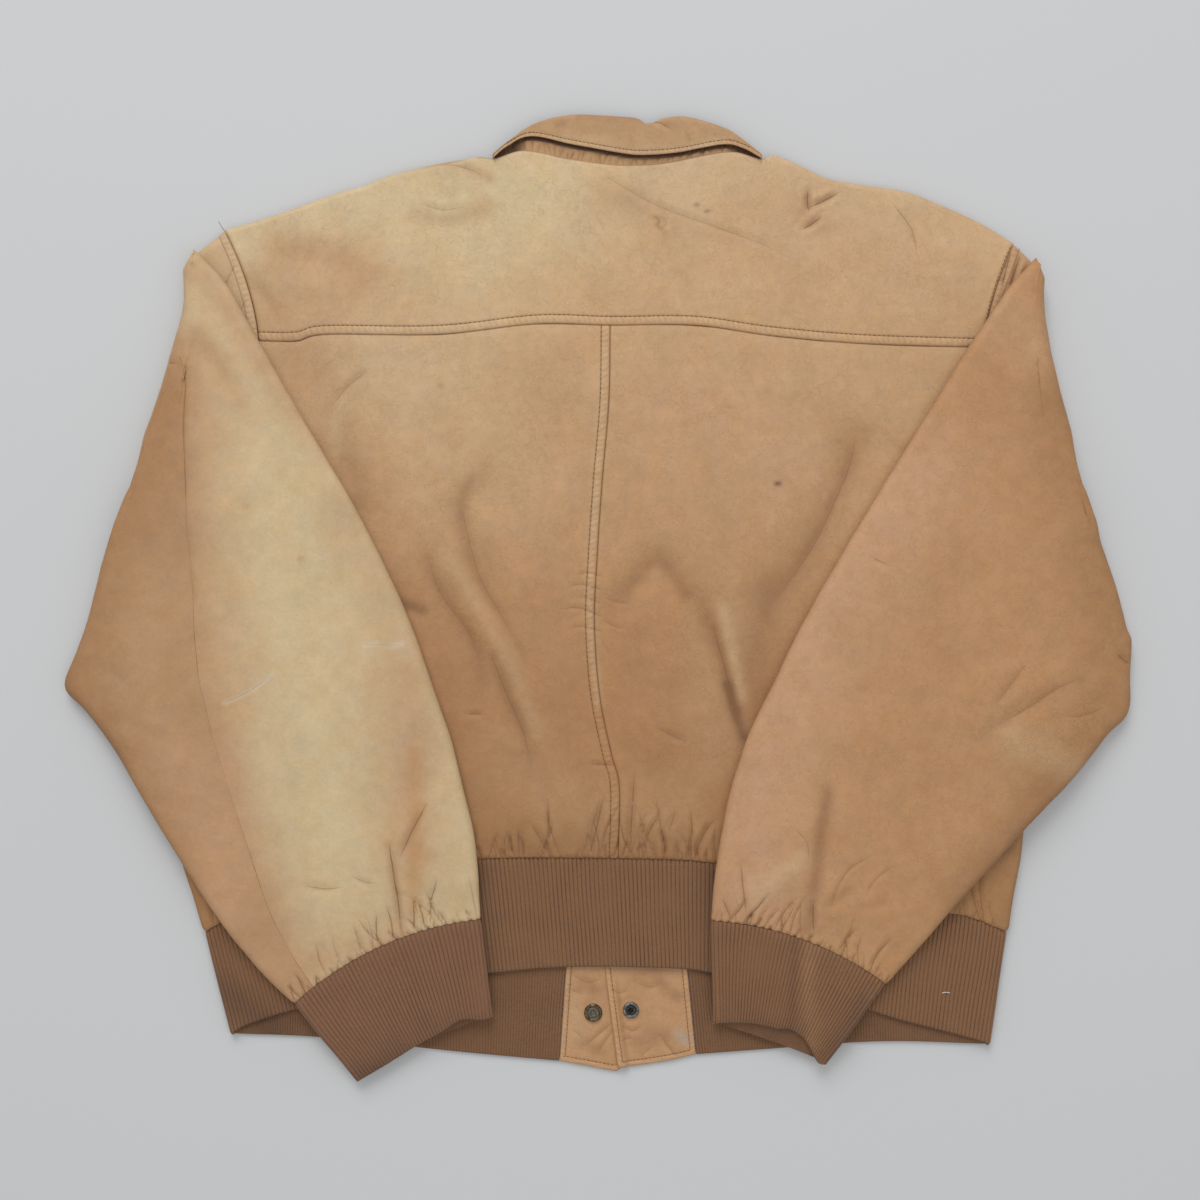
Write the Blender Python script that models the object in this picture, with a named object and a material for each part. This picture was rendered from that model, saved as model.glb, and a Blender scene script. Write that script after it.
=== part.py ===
"""Worn leather blouson, lying flat and face down with both sleeves folded over its back.

Lengths are millimetres until a mesh is made.  +X points to the wearer's right,
+Y to the collar, +Z up.  The front panels lie on the floor, z = 0, and the back
panels lie on them.  Each piece of leather or knit is a thin closed wall.
"""

from collections import namedtuple

import bmesh
import bpy
import numpy as np

MM = 0.001

# Walls and clearances
LEATHER = 3.0        # shell leather with its fused lining
RIB = 3.0            # doubled rib knit
COLLAR_WALL = 2.0
SEAM = 0.36          # clearance between two pieces that meet at a seam
LIFT = 0.5           # clearance below a sleeve or cuff that lies on the back
FOLD_INSIDE = 2.0    # room inside the fold at the shoulder, between the sleeve's two halves

# Heights above the floor
BODY = 10.0          # top of the back panels
TURN = BODY / 2      # radius of the turned shoulder and side edges
WAIST = 7.6          # top of the back half of the waistband
HEM_TOP = 8.6        # top of the leather where it enters the waistband
BLOUSE = 2.5         # puff of the leather just above the waistband
BLOUSE_SPAN = 70.0   # length of that puff, up from the seam
CUFF = 8.0           # both layers of a flat cuff
CUFF_LENGTH = 75.0
CUFF_GAP = 0.8       # clearance of a cuff's curved seam
NECK_GAP = 0.9       # clearance of the collar's curved seam
FOLD_SHARE = 0.16    # share of the collar's leaf that rounds over its fold
COLLAR_REST = 2.9    # the fronts lie this high where the collar's points are under them
CARRY = 20.0         # a sleeve stays level this far past the edge that carries it
DROOP = 34.0         # and its lower skin then reaches the floor over this distance
DRAPE = 66.0         # its upper skin takes this long

SIGN = {"left": -1.0, "right": 1.0}
BODY_HALF = 300.0    # rough width of half the body
PANEL_STEPS = 9      # even columns across half the body, before those of its turned edge
NECK_MIDDLE = 18.0
NECK_REACH = {"yoke": 122.0, "front": 102.0}      # half the width of the neck's opening
OPEN_BACK = 60.0     # the back puffs out above its waist within this of the middle
END_SHAPE = 1.3      # a sleeve's edge is this much longer than high
UNDERARM_TAPER = 2.3     # and longer still by this share where it folds at the underarm
EDGE_STEPS = [5.0, 2.3, 0.7, 0.0]    # points that round a turned edge, from the edge in
YOKE_HEIGHT = 110.0
ROOT_GAP = 2.0       # clearance of the curved armhole seams

# ---------------------------------------------------------------- tables
Point = namedtuple("Point", "x y")
Pair = namedtuple("Pair", "y left right")
Fold = namedtuple("Fold", "x0 y0 x1 y1 bend width height")
Ring = namedtuple("Ring", "over_x over_y under_x under_y bow height seam")
Band = namedtuple("Band", "seam_x seam_y hem_x hem_y")

# Side edges of the body below the armholes
SIDE = [Pair(40, -330, 332), Pair(-60, -328, 330), Pair(-140, -325, 328),
        Pair(-194, -321, 324), Pair(-228, -311, 318), Pair(-255, -303, 314)]

# Armholes: shoulder end, underarm end, and how far the curve bows into the body
ARMHOLE = {"left": (Point(-286, 283), Point(-330, 40), 47.0),
           "right": (Point(318, 273), Point(332, 40), 32.0)}

SHOULDER = {
    "left": [Point(-286, 283), Point(-243, 296), Point(-199, 312), Point(-151, 327),
             Point(-95, 336)],
    "right": [Point(318, 273), Point(290, 289), Point(246, 309), Point(190, 318),
              Point(143, 336), Point(132, 337)],
}
NECK_SEAM = [Point(-95, 336), Point(-78, 337), Point(-60, 344), Point(-42, 342),
             Point(-25, 338), Point(12, 333), Point(46, 334), Point(83, 341),
             Point(104, 343), Point(121, 337), Point(132, 337)]
# Yoke seam between the armholes, and centre back seam between the yoke and the waist
YOKE_ENDS = {"left": 196, "right": 191}
YOKE_SEAM = [Point(-231, 196), Point(-208, 201), Point(-122, 201), Point(-48, 209),
             Point(9, 208), Point(74, 208), Point(132, 200), Point(201, 194)]
BACK_SEAM_LOW, BACK_SEAM_HIGH = 15, 9      # its x at the waist and at the yoke
BACK_SEAM = [Point(16, -145), Point(10, -120), Point(1, -75), Point(-3, -20), Point(-1, 30),
             Point(3, 90), Point(8, 150)]
FRONT_NECK = {"left": [Point(-38, 272), Point(-72, 324)],
              "right": [Point(54, 268), Point(116, 324)]}
FRONT_EDGE = [Point(7, 246), Point(5, 0), Point(3, -270)]   # middle of the closed zip
ZIP_WIDTH = 15.0

# The knit band, from the left tab round the back to the right tab
WAIST_UNDER = {"left": [Band(-26, -270, -30, -356), Band(-107, -270, -107, -349),
                        Band(-205, -264, -212, -338), Band(-299, -255, -279, -335)],
               "right": [Band(70, -271, 75, -351), Band(125, -270, 129, -347),
                         Band(215, -266, 218, -341), Band(310, -255, 297, -343)]}
WAIST_BACK = [Band(-299, -255, -279, -333), Band(-282, -246, -268, -327),
              Band(-246, -234, -234, -316), Band(-170, -214, -165, -300),
              Band(-90, -202, -85, -290), Band(-19, -201, -25, -285),
              Band(50, -202, 57, -286), Band(87, -205, 89, -290),
              Band(170, -221, 165, -304), Band(240, -238, 222, -321),
              Band(281, -244, 268, -333), Band(310, -255, 297, -341)]

# Largest folds of the back: both ends, sideways bend, half width, height (+ ridge, - valley)
BACK_FOLDS = [
    Fold(-130, 32, -92, -84, 10, 13, -3.0),
    Fold(-118, 26, -82, -24, 6, 15, 3.5),
    Fold(-96, 78, -58, -38, -20, 13, -2.5),
    Fold(-84, -40, -50, -150, 6, 14, -2.0),
    Fold(202, 126, 116, -30, -8, 18, -3.0),
    Fold(10, -20, 84, -20, 70, 22, 4.5),
    Fold(88, -4, 110, -98, 6, 13, 3.5),
    Fold(74, -22, 104, -92, 14, 12, -3.0),
    Fold(-238, 262, -184, 247, 5, 15, -2.0),
    Fold(158, 312, 186, 280, 4, 12, -2.5),
]

# Sleeves: rings from the fold at the shoulder to the cuff.  over_ is the overarm edge,
# under_ the underarm edge, bow lifts the ring's middle towards the shoulder, height is
# the sleeve's own thickness, and seam is where the underarm seam crosses the upper skin.
SLEEVE = {
    "left": [
        Ring(-306, 259, -352, 86, -7, 10, 0.45),
        Ring(-284, 240, -368, 56, -4, 11, 0.42),
        Ring(-262, 203, -380, 24, 0, 12, 0.48),
        Ring(-226, 141, -389, -8, 0, 12, 0.57),
        Ring(-180, 61, -399, -38, 0, 12, 0.607),
        Ring(-148, -6, -409, -68, 0, 13, 0.617),
        Ring(-124, -72, -393, -88, 0, 13, 0.652),
        Ring(-111, -108, -372, -117, 3, 13, 0.70),
        Ring(-101, -149, -343, -165, 4, 12, 0.74),
        Ring(-94, -181, -316, -206, 6, 12, 0.78),
        Ring(-91, -210, -284, -252, 8, 11, 0.834),
        Ring(-90, -229, -257, -286, 10, 10, 0.868),
        Ring(-89, -245, -232, -310, 11, 9, 0.90),
    ],
    "right": [
        Ring(329, 255, 363, 88, -8, 10, 0.96),
        Ring(309, 233, 377, 62, -5, 11, 0.96),
        Ring(284, 196, 384, 44, 0, 12, 0.96),
        Ring(241, 127, 396, 10, 0, 12, 0.96),
        Ring(196, 52, 405, -22, 0, 12, 0.96),
        Ring(157, -14, 410, -38, 0, 13, 0.96),
        Ring(133, -64, 408, -84, 0, 13, 0.96),
        Ring(113, -104, 384, -106, 0, 13, 0.96),
        Ring(101, -141, 352, -141, 2, 12, 0.96),
        Ring(93, -178, 315, -186, 4, 12, 0.96),
        Ring(88, -210, 272, -235, 7, 11, 0.96),
        Ring(86, -231, 241, -271, 9, 10, 0.96),
        Ring(85, -246, 219, -295, 9, 9, 0.96),
    ],
}
HIDDEN_SEAM = 0.55   # the left sleeve's other seam, on its lower skin
OVER_SEAM = 0.10     # the right sleeve's seams, on its lower skin, in from each edge
UNDER_SEAM = 0.10

# Cuffs: hem ends, the hem's bow in the upper and in the lower layer, the twist's height
Cuff = namedtuple("Cuff", "over_x over_y under_x under_y bow under_bow twist twist_at")
CUFFS = {"left": Cuff(-80, -320, -185, -371, 4, 4, 0.0, 0.5),
         "right": Cuff(87, -326, 174, -357, 9, 1, 2.5, 0.72)}

# The collar: each half's under leg from its front end to the corner, and the back
# between the corners.  The leaf's outer edge is free, the stand's is sewn to the neck.
Strip = namedtuple("Strip", "fold_x fold_y edge_x edge_y")
LEAF = {"left": [Strip(-6, 268, -58, 206), Strip(-42, 306, -92, 264),
                 Strip(-68, 332, -94, 316), Strip(-75, 346, -78, 340)],
        "right": [Strip(20, 268, 102, 206), Strip(86, 306, 138, 264),
                  Strip(112, 332, 138, 316), Strip(118, 346, 122, 340)],
        "back": [Strip(-75, 347, -78, 341), Strip(-66, 354, -68, 350), Strip(-47, 367, -52, 355),
                 Strip(-18, 373, -20, 349), Strip(25, 371, 20, 342), Strip(38, 368, 38, 341),
                 Strip(64, 372, 62, 343), Strip(95, 363, 95, 349), Strip(109, 354, 110, 347),
                 Strip(118, 347, 122, 341)]}
STAND = {"left": [Strip(-9, 278, -10, 256), Strip(-42, 308, -35, 284),
                  Strip(-63, 334, -65, 327), Strip(-71, 345, -72, 342)],
         "right": [Strip(24, 278, 24, 256), Strip(86, 308, 58, 281),
                   Strip(106, 333, 108, 325), Strip(114, 345, 116, 341)],
         "back": [Strip(-71, 346, -72, 342), Strip(-58, 353, -60, 346), Strip(-42, 361, -42, 344),
                  Strip(-18, 366, -24, 340), Strip(22, 364, 14, 335), Strip(62, 365, 47, 336),
                  Strip(88, 356, 83, 343), Strip(104, 350, 102, 345), Strip(114, 346, 116, 342)]}
LEAF_LEVELS = (0.2, 13.0)
STAND_LEVELS = (3.2, 9.2)

# Snap tabs at the ends of the waistband, corner by corner, and their snaps
TAB = {"left": [Point(-24, -270), Point(3, -270), Point(15, -361), Point(-30, -356)],
       "right": [Point(3, -271), Point(67, -271), Point(75, -351), Point(15, -361)]}
TAB_DIP = {"left": 6.0, "right": 1.5}    # how far each lower edge rounds down
TAB_LAP = 4.0                            # the right tab's edge rides on the left one
TAB_WALL = 3.0
TAB_WIDTH = 62.0
SNAP_AT = {"left": Point(-4, -319), "right": Point(25, -317)}
SNAP_RADIUS = {"left": 6.9, "right": 6.2}
POST_RADIUS = 2.4
CAP_RADIUS = 5.6
CAP_HEIGHT = 1.0
SNAP_SEGMENTS = 16

# Colours, roughness and metallic value of each material
COLOURS = {
    "leather": ((0.49, 0.29, 0.16, 1.0), 0.62, 0.0),
    "leather_faded": ((0.60, 0.46, 0.29, 1.0), 0.66, 0.0),
    "leather_light": ((0.52, 0.31, 0.15, 1.0), 0.6, 0.0),
    "rib": ((0.17, 0.075, 0.038, 1.0), 0.9, 0.0),
    "brass": ((0.30, 0.22, 0.12, 1.0), 0.4, 1.0),
    "steel": ((0.12, 0.12, 0.13, 1.0), 0.35, 1.0),
    "tape": ((0.10, 0.06, 0.04, 1.0), 0.85, 0.0),
}


# ---------------------------------------------------------------- curves
def smooth(value):
    """0 below 0, 1 above 1, an even S between them."""
    t = np.clip(value, 0.0, 1.0)
    return t * t * (3.0 - 2.0 * t)


def through(rows, at):
    """Catmull-Rom curve through the rows of a table, at row positions `at`."""
    table = np.array(rows, dtype=float)
    padded = np.vstack([2 * table[0] - table[1], table, 2 * table[-1] - table[-2]])
    at = np.clip(np.asarray(at, dtype=float), 0, len(table) - 1)
    row = np.minimum(at.astype(int), len(table) - 2)
    t = (at - row)[:, None]
    before, start, end, after = (padded[row + k] for k in range(4))
    return 0.5 * (2 * start + (end - before) * t
                  + (2 * before - 5 * start + 4 * end - after) * t ** 2
                  + (3 * start - before - 3 * end + after) * t ** 3)


def path(rows):
    """A function that gives points on the curve through rows, 0..1 by its length."""
    steps = np.linspace(0, len(rows) - 1, 24 * (len(rows) - 1) + 1)
    points = through(rows, steps)
    travelled = np.concatenate([[0], np.cumsum(np.linalg.norm(np.diff(points, axis=0), axis=1))])

    def at(share):
        distance = np.asarray(share, dtype=float) * travelled[-1]
        return np.stack([np.interp(distance, travelled, points[:, k]) for k in (0, 1)], axis=-1)

    return at


def bowed(start, end, bow, share):
    """Points on a line that bows sideways, to its left, by `bow` at its middle."""
    start = np.array(start, dtype=float)
    along = np.array(end, dtype=float) - start
    left = np.array([-along[1], along[0]]) / np.linalg.norm(along)
    share = np.asarray(share, dtype=float)[..., None]
    return start + along * share + left * bow * 4 * share * (1 - share)


def armhole_curve(side, share):
    """The armhole's seam, from the shoulder (0) to the underarm (1)."""
    start, end, bow = ARMHOLE[side]
    return bowed(start, end, bow if side == "left" else -bow, share)


def share_at(curve, axis, value):
    """Share of a curve at which its x (axis 0) or y (axis 1) reaches a value."""
    steps = np.linspace(0, 1, 2001)
    reached = curve(steps)[:, axis]
    order = np.argsort(reached)
    return np.interp(value, reached[order], steps[order])


def shares(count, length):
    """`count` even shares of a length, then more that round its turned end."""
    even = np.linspace(0, 1 - 2 * TURN / length, count)
    return np.concatenate([even, [1 - step / length for step in EDGE_STEPS]])


YOKE_UP = shares(4, YOKE_HEIGHT)
YOKE_AT = {side: share_at(lambda share, side=side: armhole_curve(side, share), 1, YOKE_ENDS[side])
           for side in SIGN}
# Where every panel and sleeve has its corners along the armhole, from the underarm up
ARMHOLE_STEPS = {side: np.concatenate([np.linspace(1, YOKE_AT[side], 6)[:-1],
                                       YOKE_AT[side] * (1 - YOKE_UP)]) for side in SIGN}


def armhole(side, share):
    """Points on the armhole's run of short straight chords."""
    steps = ARMHOLE_STEPS[side][::-1]
    corners = armhole_curve(side, steps)
    return np.stack([np.interp(share, steps, corners[:, k]) for k in (0, 1)], axis=-1)


# ---------------------------------------------------------------- heights
def fold_height(x, y, folds):
    """Sum of the soft ridges and valleys at each point."""
    total = np.zeros_like(x)
    steps = np.linspace(0, 1, 13)
    for fold in folds:
        spine = bowed((fold.x0, fold.y0), (fold.x1, fold.y1), fold.bend, steps)
        away = np.hypot(x[..., None] - spine[:, 0], y[..., None] - spine[:, 1])
        nearest = away.argmin(axis=-1)
        taper = np.sin(np.pi * np.clip(steps, 0.08, 0.92)) ** 0.5
        total += fold.height * taper[nearest] * np.exp(-(away.min(axis=-1) / fold.width) ** 2)
    return total


def waist_seam_y(x):
    """How far down the leather of the back reaches at x."""
    return np.interp(x, [row.seam_x for row in WAIST_BACK], [row.seam_y for row in WAIST_BACK])


def back_top(x, y):
    """Top of the back panels and yoke."""
    above = y - waist_seam_y(x)
    settle = (BODY - HEM_TOP) * (1 - smooth(above / (0.5 * BLOUSE_SPAN)))
    puff = BLOUSE * np.sin(np.pi * np.clip(above / BLOUSE_SPAN, 0, 1)) ** 2
    puff *= 1 - smooth((np.abs(x) - OPEN_BACK) / 30)
    return BODY - settle + puff + fold_height(x, y, BACK_FOLDS)


def front_bottom(x, y):
    """Underside of the fronts: the floor, or the collar's points near the neck."""
    points = np.hypot(np.abs(x - 22.0) - 62.0, (y - 272.0) / 1.25)
    middle = np.hypot((x - 10.0) / 1.2, (y - 270.0) / 0.9)
    return COLLAR_REST * (1 - smooth((np.minimum(points, middle) - 68.0) / 50.0))


def support_side(y, side):
    """Edge of what carries a sleeve: its own folded root above, the body below."""
    first, last = SLEEVE[side][0], SIDE[0]
    edge = last.left if side == "left" else last.right
    outward = -1.0 if side == "left" else 1.0
    heights = [row.y for row in reversed(SIDE)]
    xs = [row.left if side == "left" else row.right for row in reversed(SIDE)]
    heights += [first.under_y - 14, first.over_y]
    xs += [first.under_x + outward * 8, first.over_x + outward * 12]
    xs[len(SIDE) - 1] = edge + outward * 4
    return np.interp(y, heights, xs)


def support_top(x, y, side, reach):
    """What a sleeve or cuff lies on, falling to the floor over `reach` past each edge."""
    past_side = SIGN[side] * (x - support_side(y, side)) - CARRY
    back_hem = np.interp(x, [row.hem_x for row in WAIST_BACK], [row.hem_y for row in WAIST_BACK])
    under = WAIST_UNDER[side][::int(SIGN[side])]
    front_hem = np.interp(x, [row.hem_x for row in under], [row.hem_y for row in under])
    onto_band = smooth((waist_seam_y(x) - y) / 40.0)
    top = (BODY + fold_height(x, y, BACK_FOLDS)) * (1 - onto_band) + WAIST * onto_band
    upper = (top - RIB) * (1 - smooth((back_hem - y - CARRY) / reach))
    lower = RIB * (1 - smooth((front_hem - y - CARRY) / reach))
    return (upper + lower) * (1 - smooth(past_side / reach))


# ---------------------------------------------------------------- meshes
def finish(name, shape, material):
    """Makes an object of a closed bmesh, its faces turned outward."""
    bmesh.ops.recalc_face_normals(shape, faces=shape.faces)
    if shape.calc_volume(signed=True) < 0:
        bmesh.ops.reverse_faces(shape, faces=shape.faces)
    mesh = bpy.data.meshes.new(name)
    shape.to_mesh(mesh)
    shape.free()
    for polygon in mesh.polygons:
        polygon.use_smooth = True
    mesh.set_sharp_from_angle(angle=np.radians(40.0))
    mesh.materials.append(materials[material])
    piece = bpy.data.objects.new(name, mesh)
    bpy.context.scene.collection.objects.link(piece)
    return piece


def make_material(name):
    colour, roughness, metallic = COLOURS[name]
    material = bpy.data.materials.new(name)
    material.use_nodes = True
    surface = material.node_tree.nodes["Principled BSDF"]
    surface.inputs["Base Color"].default_value = colour
    surface.inputs["Roughness"].default_value = roughness
    surface.inputs["Metallic"].default_value = metallic
    material.diffuse_color = colour
    return material


def wall(name, outer, inner, material, ring=False):
    """A closed wall between two grids (rows, columns, 3); `ring` joins last column to first."""
    rows, columns = outer.shape[:2]
    shape = bmesh.new()
    skins = []
    for grid in (outer, inner):
        skins.append([[shape.verts.new(point * MM) for point in line] for line in grid])
    spans = columns if ring else columns - 1
    for skin in skins:
        for i in range(rows - 1):
            for j in range(spans):
                k = (j + 1) % columns
                shape.faces.new([skin[i][j], skin[i][k], skin[i + 1][k], skin[i + 1][j]])
    for j in range(spans):
        k = (j + 1) % columns
        for i in (0, rows - 1):
            shape.faces.new([skins[0][i][j], skins[0][i][k], skins[1][i][k], skins[1][i][j]])
    if not ring:
        for i in range(rows - 1):
            for j in (0, columns - 1):
                shape.faces.new([skins[0][i][j], skins[0][i + 1][j],
                                 skins[1][i + 1][j], skins[1][i][j]])
    return finish(name, shape, material)


def turned_edge(distance):
    """How far down a rounded edge has turned at a distance in from it, and how far out, 0..1."""
    lean = np.clip(1 - distance / TURN, 0, 1)
    return 1 - np.sqrt(1 - lean ** 2), lean


def coons(bottom, top, start, end, across, up):
    """Grid of XY points inside four edges; `across` and `up` are shares 0..1.

    The start and end edges are eased so that they meet the bottom and top ones.
    """
    p = np.asarray(across)[None, :, None]
    q = np.asarray(up)[:, None, None]
    low, high = bottom(across)[None], top(across)[None]
    first, last = start(up)[:, None], end(up)[:, None]
    first = first + (low[:, :1] - first[:1]) * (1 - q) + (high[:, :1] - first[-1:]) * q
    last = last + (low[:, -1:] - last[:1]) * (1 - q) + (high[:, -1:] - last[-1:]) * q
    corners = ((1 - p) * (1 - q) * low[:, :1] + p * (1 - q) * low[:, -1:]
               + (1 - p) * q * high[:, :1] + p * q * high[:, -1:])
    return (1 - q) * low + q * high + (1 - p) * first + p * last - corners


def panel(name, xy, height, turn, out, below, material):
    """A flat panel: its outer skin, with turned edges, and an inner skin LEATHER away.

    `turn` is each point's distance from a turned edge and `out` the way that edge faces;
    `below` is 1 for a back panel, whose wall hangs below its skin, and -1 for a front.
    """
    down, lean = turned_edge(turn)
    meeting = TURN + below * SEAM / 2
    outer = np.dstack([xy, height + (meeting - height) * down])
    shift = np.dstack([out * lean[..., None], below * np.sqrt(1 - lean ** 2)])
    return wall(name, outer, outer - LEATHER * shift, material)


# ---------------------------------------------------------------- body
UNDERARM = 0.6                       # share of a panel's outer edge below the armhole
EDGE_FROM = 1 - 2 * TURN / BODY_HALF
ACROSS = shares(PANEL_STEPS, BODY_HALF)


def inset(curve, dx, dy):
    """The same curve, moved aside."""
    return lambda share: curve(share) + np.array([dx, dy])


WAIST_CURVE = path([Point(row.seam_x, row.seam_y) for row in WAIST_BACK])
HEM_CURVE = path([Point(row.hem_x, row.hem_y) for row in WAIST_BACK])
YOKE_CURVE = path([armhole("left", YOKE_AT["left"]) + [ROOT_GAP, 0]] + YOKE_SEAM
                  + [armhole("right", YOKE_AT["right"]) - [ROOT_GAP, 0]])
WAIST_MIDDLE = share_at(WAIST_CURVE, 0, BACK_SEAM_LOW)
YOKE_MIDDLE = share_at(YOKE_CURVE, 0, BACK_SEAM_HIGH)
BACK_CURVE = path([WAIST_CURVE(WAIST_MIDDLE)] + BACK_SEAM + [YOKE_CURVE(YOKE_MIDDLE)])


def from_middle(middle, side, across):
    """Shares of a left-to-right curve, from its middle share out to one side."""
    return middle + ((0.0 if side == "left" else 1.0) - middle) * np.asarray(across)


def to_corner(xy, side, across):
    """Carries a waist seam on, past the band's own turn, to the leather's side seam."""
    corner = np.array([SIDE[-1].left if side == "left" else SIDE[-1].right, SIDE[-1].y])
    past = np.clip((across - EDGE_FROM) / (1 - EDGE_FROM), 0, 1)[:, None]
    return xy * (1 - past) + corner * past


def outer_edge(side, top_share):
    """Edge of a body panel: from the waist up the side seam, then the armhole to top_share."""
    down = path([Point(row.left if side == "left" else row.right, row.y) for row in SIDE])

    def at(up):
        below = down(np.clip(1 - up / UNDERARM, 0, 1))
        share = 1 - np.clip((up - UNDERARM) / (1 - UNDERARM), 0, 1) * (1 - top_share)
        above = armhole(side, share) - np.array([SIGN[side] * ROOT_GAP, 0])
        return np.where((up <= UNDERARM)[:, None], below, above)

    return at


def panel_up(side, top_share, count):
    """Rows of a body panel: `count` below the underarm, then one at each corner above it."""
    steps = ARMHOLE_STEPS[side]
    steps = steps[steps >= top_share - 1e-9]
    above = UNDERARM + (1 - UNDERARM) * (1 - steps) / (1 - top_share)
    return np.concatenate([np.linspace(0, UNDERARM, count), above[1:]])


def side_turn(xy, edge, up):
    """Distance of each point from the turned side seam; the armhole above isn't turned."""
    away = np.linalg.norm(xy - edge[:, None], axis=-1)
    return away + np.where(up < UNDERARM - 0.01, 0.0, 2 * TURN)[:, None]


def facing_out(edge, sign):
    """Unit directions in the floor's plane, square to an edge."""
    tangent = np.gradient(edge, axis=0)
    out = sign * np.stack([-tangent[:, 1], tangent[:, 0]], axis=-1)
    return out / np.linalg.norm(out, axis=-1, keepdims=True)


def away_from_neck(x, reach):
    """Puts a turned edge out of reach where the neck's opening is."""
    return 2 * TURN * smooth((reach - np.abs(x - NECK_MIDDLE)) / 12)


def make_back(side):
    sign = SIGN[side]
    up = panel_up(side, YOKE_AT[side], 9)
    outside = outer_edge(side, YOKE_AT[side])

    def waist(share):
        inner = np.minimum(share / EDGE_FROM, 1)
        xy = to_corner(WAIST_CURVE(from_middle(WAIST_MIDDLE, side, inner)), side, share)
        return xy + np.array([sign * SEAM / 2, SEAM / 2])

    def yoke(share):
        xy = YOKE_CURVE(from_middle(YOKE_MIDDLE, side, share))
        return xy + np.array([sign * SEAM / 2, -SEAM / 2])

    xy = coons(waist, yoke, inset(BACK_CURVE, sign * SEAM / 2, 0), outside, ACROSS, up)
    out = np.zeros_like(xy)
    out[..., 0] = sign
    panel(f"back_{side}", xy, back_top(xy[..., 0], xy[..., 1]),
          side_turn(xy, outside(up), up), out, 1.0, "leather")


YOKE_ACROSS = np.concatenate([from_middle(YOKE_MIDDLE, "left", ACROSS)[::-1],
                              from_middle(YOKE_MIDDLE, "right", ACROSS)[1:]])
YOKE_TOP = path(SHOULDER["left"] + NECK_SEAM[1:-1] + SHOULDER["right"][::-1])


def make_yoke():
    def armhole_edge(side):
        inward = np.array([-SIGN[side] * ROOT_GAP, 0])
        return lambda share: armhole(side, YOKE_AT[side] * (1 - share)) + inward

    xy = coons(inset(YOKE_CURVE, 0, SEAM / 2), YOKE_TOP,
               armhole_edge("left"), armhole_edge("right"), YOKE_ACROSS, YOKE_UP)
    edge = YOKE_TOP(YOKE_ACROSS)
    out = np.broadcast_to(facing_out(edge, 1.0), xy.shape)
    turn = np.linalg.norm(xy - edge, axis=-1) + away_from_neck(edge[:, 0], NECK_REACH["yoke"])
    panel("back_yoke", xy, back_top(xy[..., 0], xy[..., 1]), turn, out, 1.0, "leather")


def make_front(side):
    sign = SIGN[side]
    up = panel_up(side, 0.0, 7)
    outside = outer_edge(side, 0.0)
    under = WAIST_UNDER[side]
    zip_edge = sign * (ZIP_WIDTH / 2 + SEAM)

    def waist(share):
        inner = np.minimum(share / EDGE_FROM, 1)
        xy = to_corner(through(under, inner * (len(under) - 1))[:, :2], side, share)
        start = np.array([FRONT_EDGE[-1].x + zip_edge, under[0].seam_y]) - xy[0]
        return xy + start * (1 - smooth(share / 0.1))[:, None] + np.array([0, SEAM])

    neck = [Point(FRONT_EDGE[0].x + zip_edge, FRONT_EDGE[0].y)] + FRONT_NECK[side]
    top = path(neck + SHOULDER[side][::-1])
    xy = coons(waist, top, inset(path(FRONT_EDGE[::-1]), zip_edge, 0), outside, ACROSS, up)
    edge = top(ACROSS)
    top_turn = (np.linalg.norm(xy - edge, axis=-1)
                + away_from_neck(edge[:, 0], NECK_REACH["front"]))
    turn = side_turn(xy, outside(up), up)
    out = np.zeros_like(xy)
    out[..., 0] = sign
    out = np.where((top_turn < turn)[..., None], facing_out(edge, sign), out)
    panel(f"front_{side}", xy, front_bottom(xy[..., 0], xy[..., 1]),
          np.minimum(top_turn, turn), out, -1.0, "leather")


def make_zip():
    """The closed front zip, a plain strip between the fronts."""
    along = path(FRONT_EDGE)(np.linspace(0, 1, 12))
    sides = [along + np.array([offset * ZIP_WIDTH / 2, 0]) for offset in (-1, 0, 1)]
    xy = np.stack(sides, axis=1)
    bottom = np.dstack([xy, front_bottom(xy[..., 0], xy[..., 1])])
    wall("front_zip", bottom, bottom + np.array([0, 0, LEATHER]), "tape")


# ---------------------------------------------------------------- bands
BEND = np.radians([40, 90, 140])


def doubled_band(name, under, back, levels, down, thick, material, fold_drop=0.0):
    """A band laid flat and doubled: its left end underneath, round to the back, its right end.

    under and back hold rows (first edge x, y, second edge x, y); levels are its lowest and
    highest skin, and fold_drop rounds the first edge of the back over.
    """
    radius = (levels[1] - levels[0]) / 2
    rows, turns = list(under["left"]), [0.0] * len(under["left"])
    outward = np.array([radius, 0, radius, 0])
    for side, bend in (("left", BEND), ("right", BEND[::-1])):
        corner = [np.array(under[side][-1]) + SIGN[side] * np.sin(angle) * outward
                  for angle in bend]
        turned_by = [SIGN[side] * angle for angle in bend]
        if side == "left":
            rows += corner + list(back)
            turns += turned_by + [np.pi] * len(back)
        else:
            rows += corner + list(under["right"])[::-1]
            turns += turned_by + [0.0] * len(under["right"])
    rows, turns = np.array(rows, dtype=float)[:, None], np.array(turns)[:, None]
    down = np.array(down)[:, None]
    xy = rows[..., :2] * (1 - down) + rows[..., 2:] * down
    level = levels[0] + radius - radius * np.cos(turns)
    near_fold = np.clip(1 - down[:, 0] / FOLD_SHARE, 0, 1)
    over = fold_drop * (1 - np.sqrt(1 - near_fold ** 2)) * smooth(-np.cos(turns))
    outer = np.dstack([xy, level - over])
    lean = np.stack([np.sin(turns), 0 * turns, -np.cos(turns)], axis=-1)
    wall(name, outer, outer - thick * lean, material)


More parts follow.
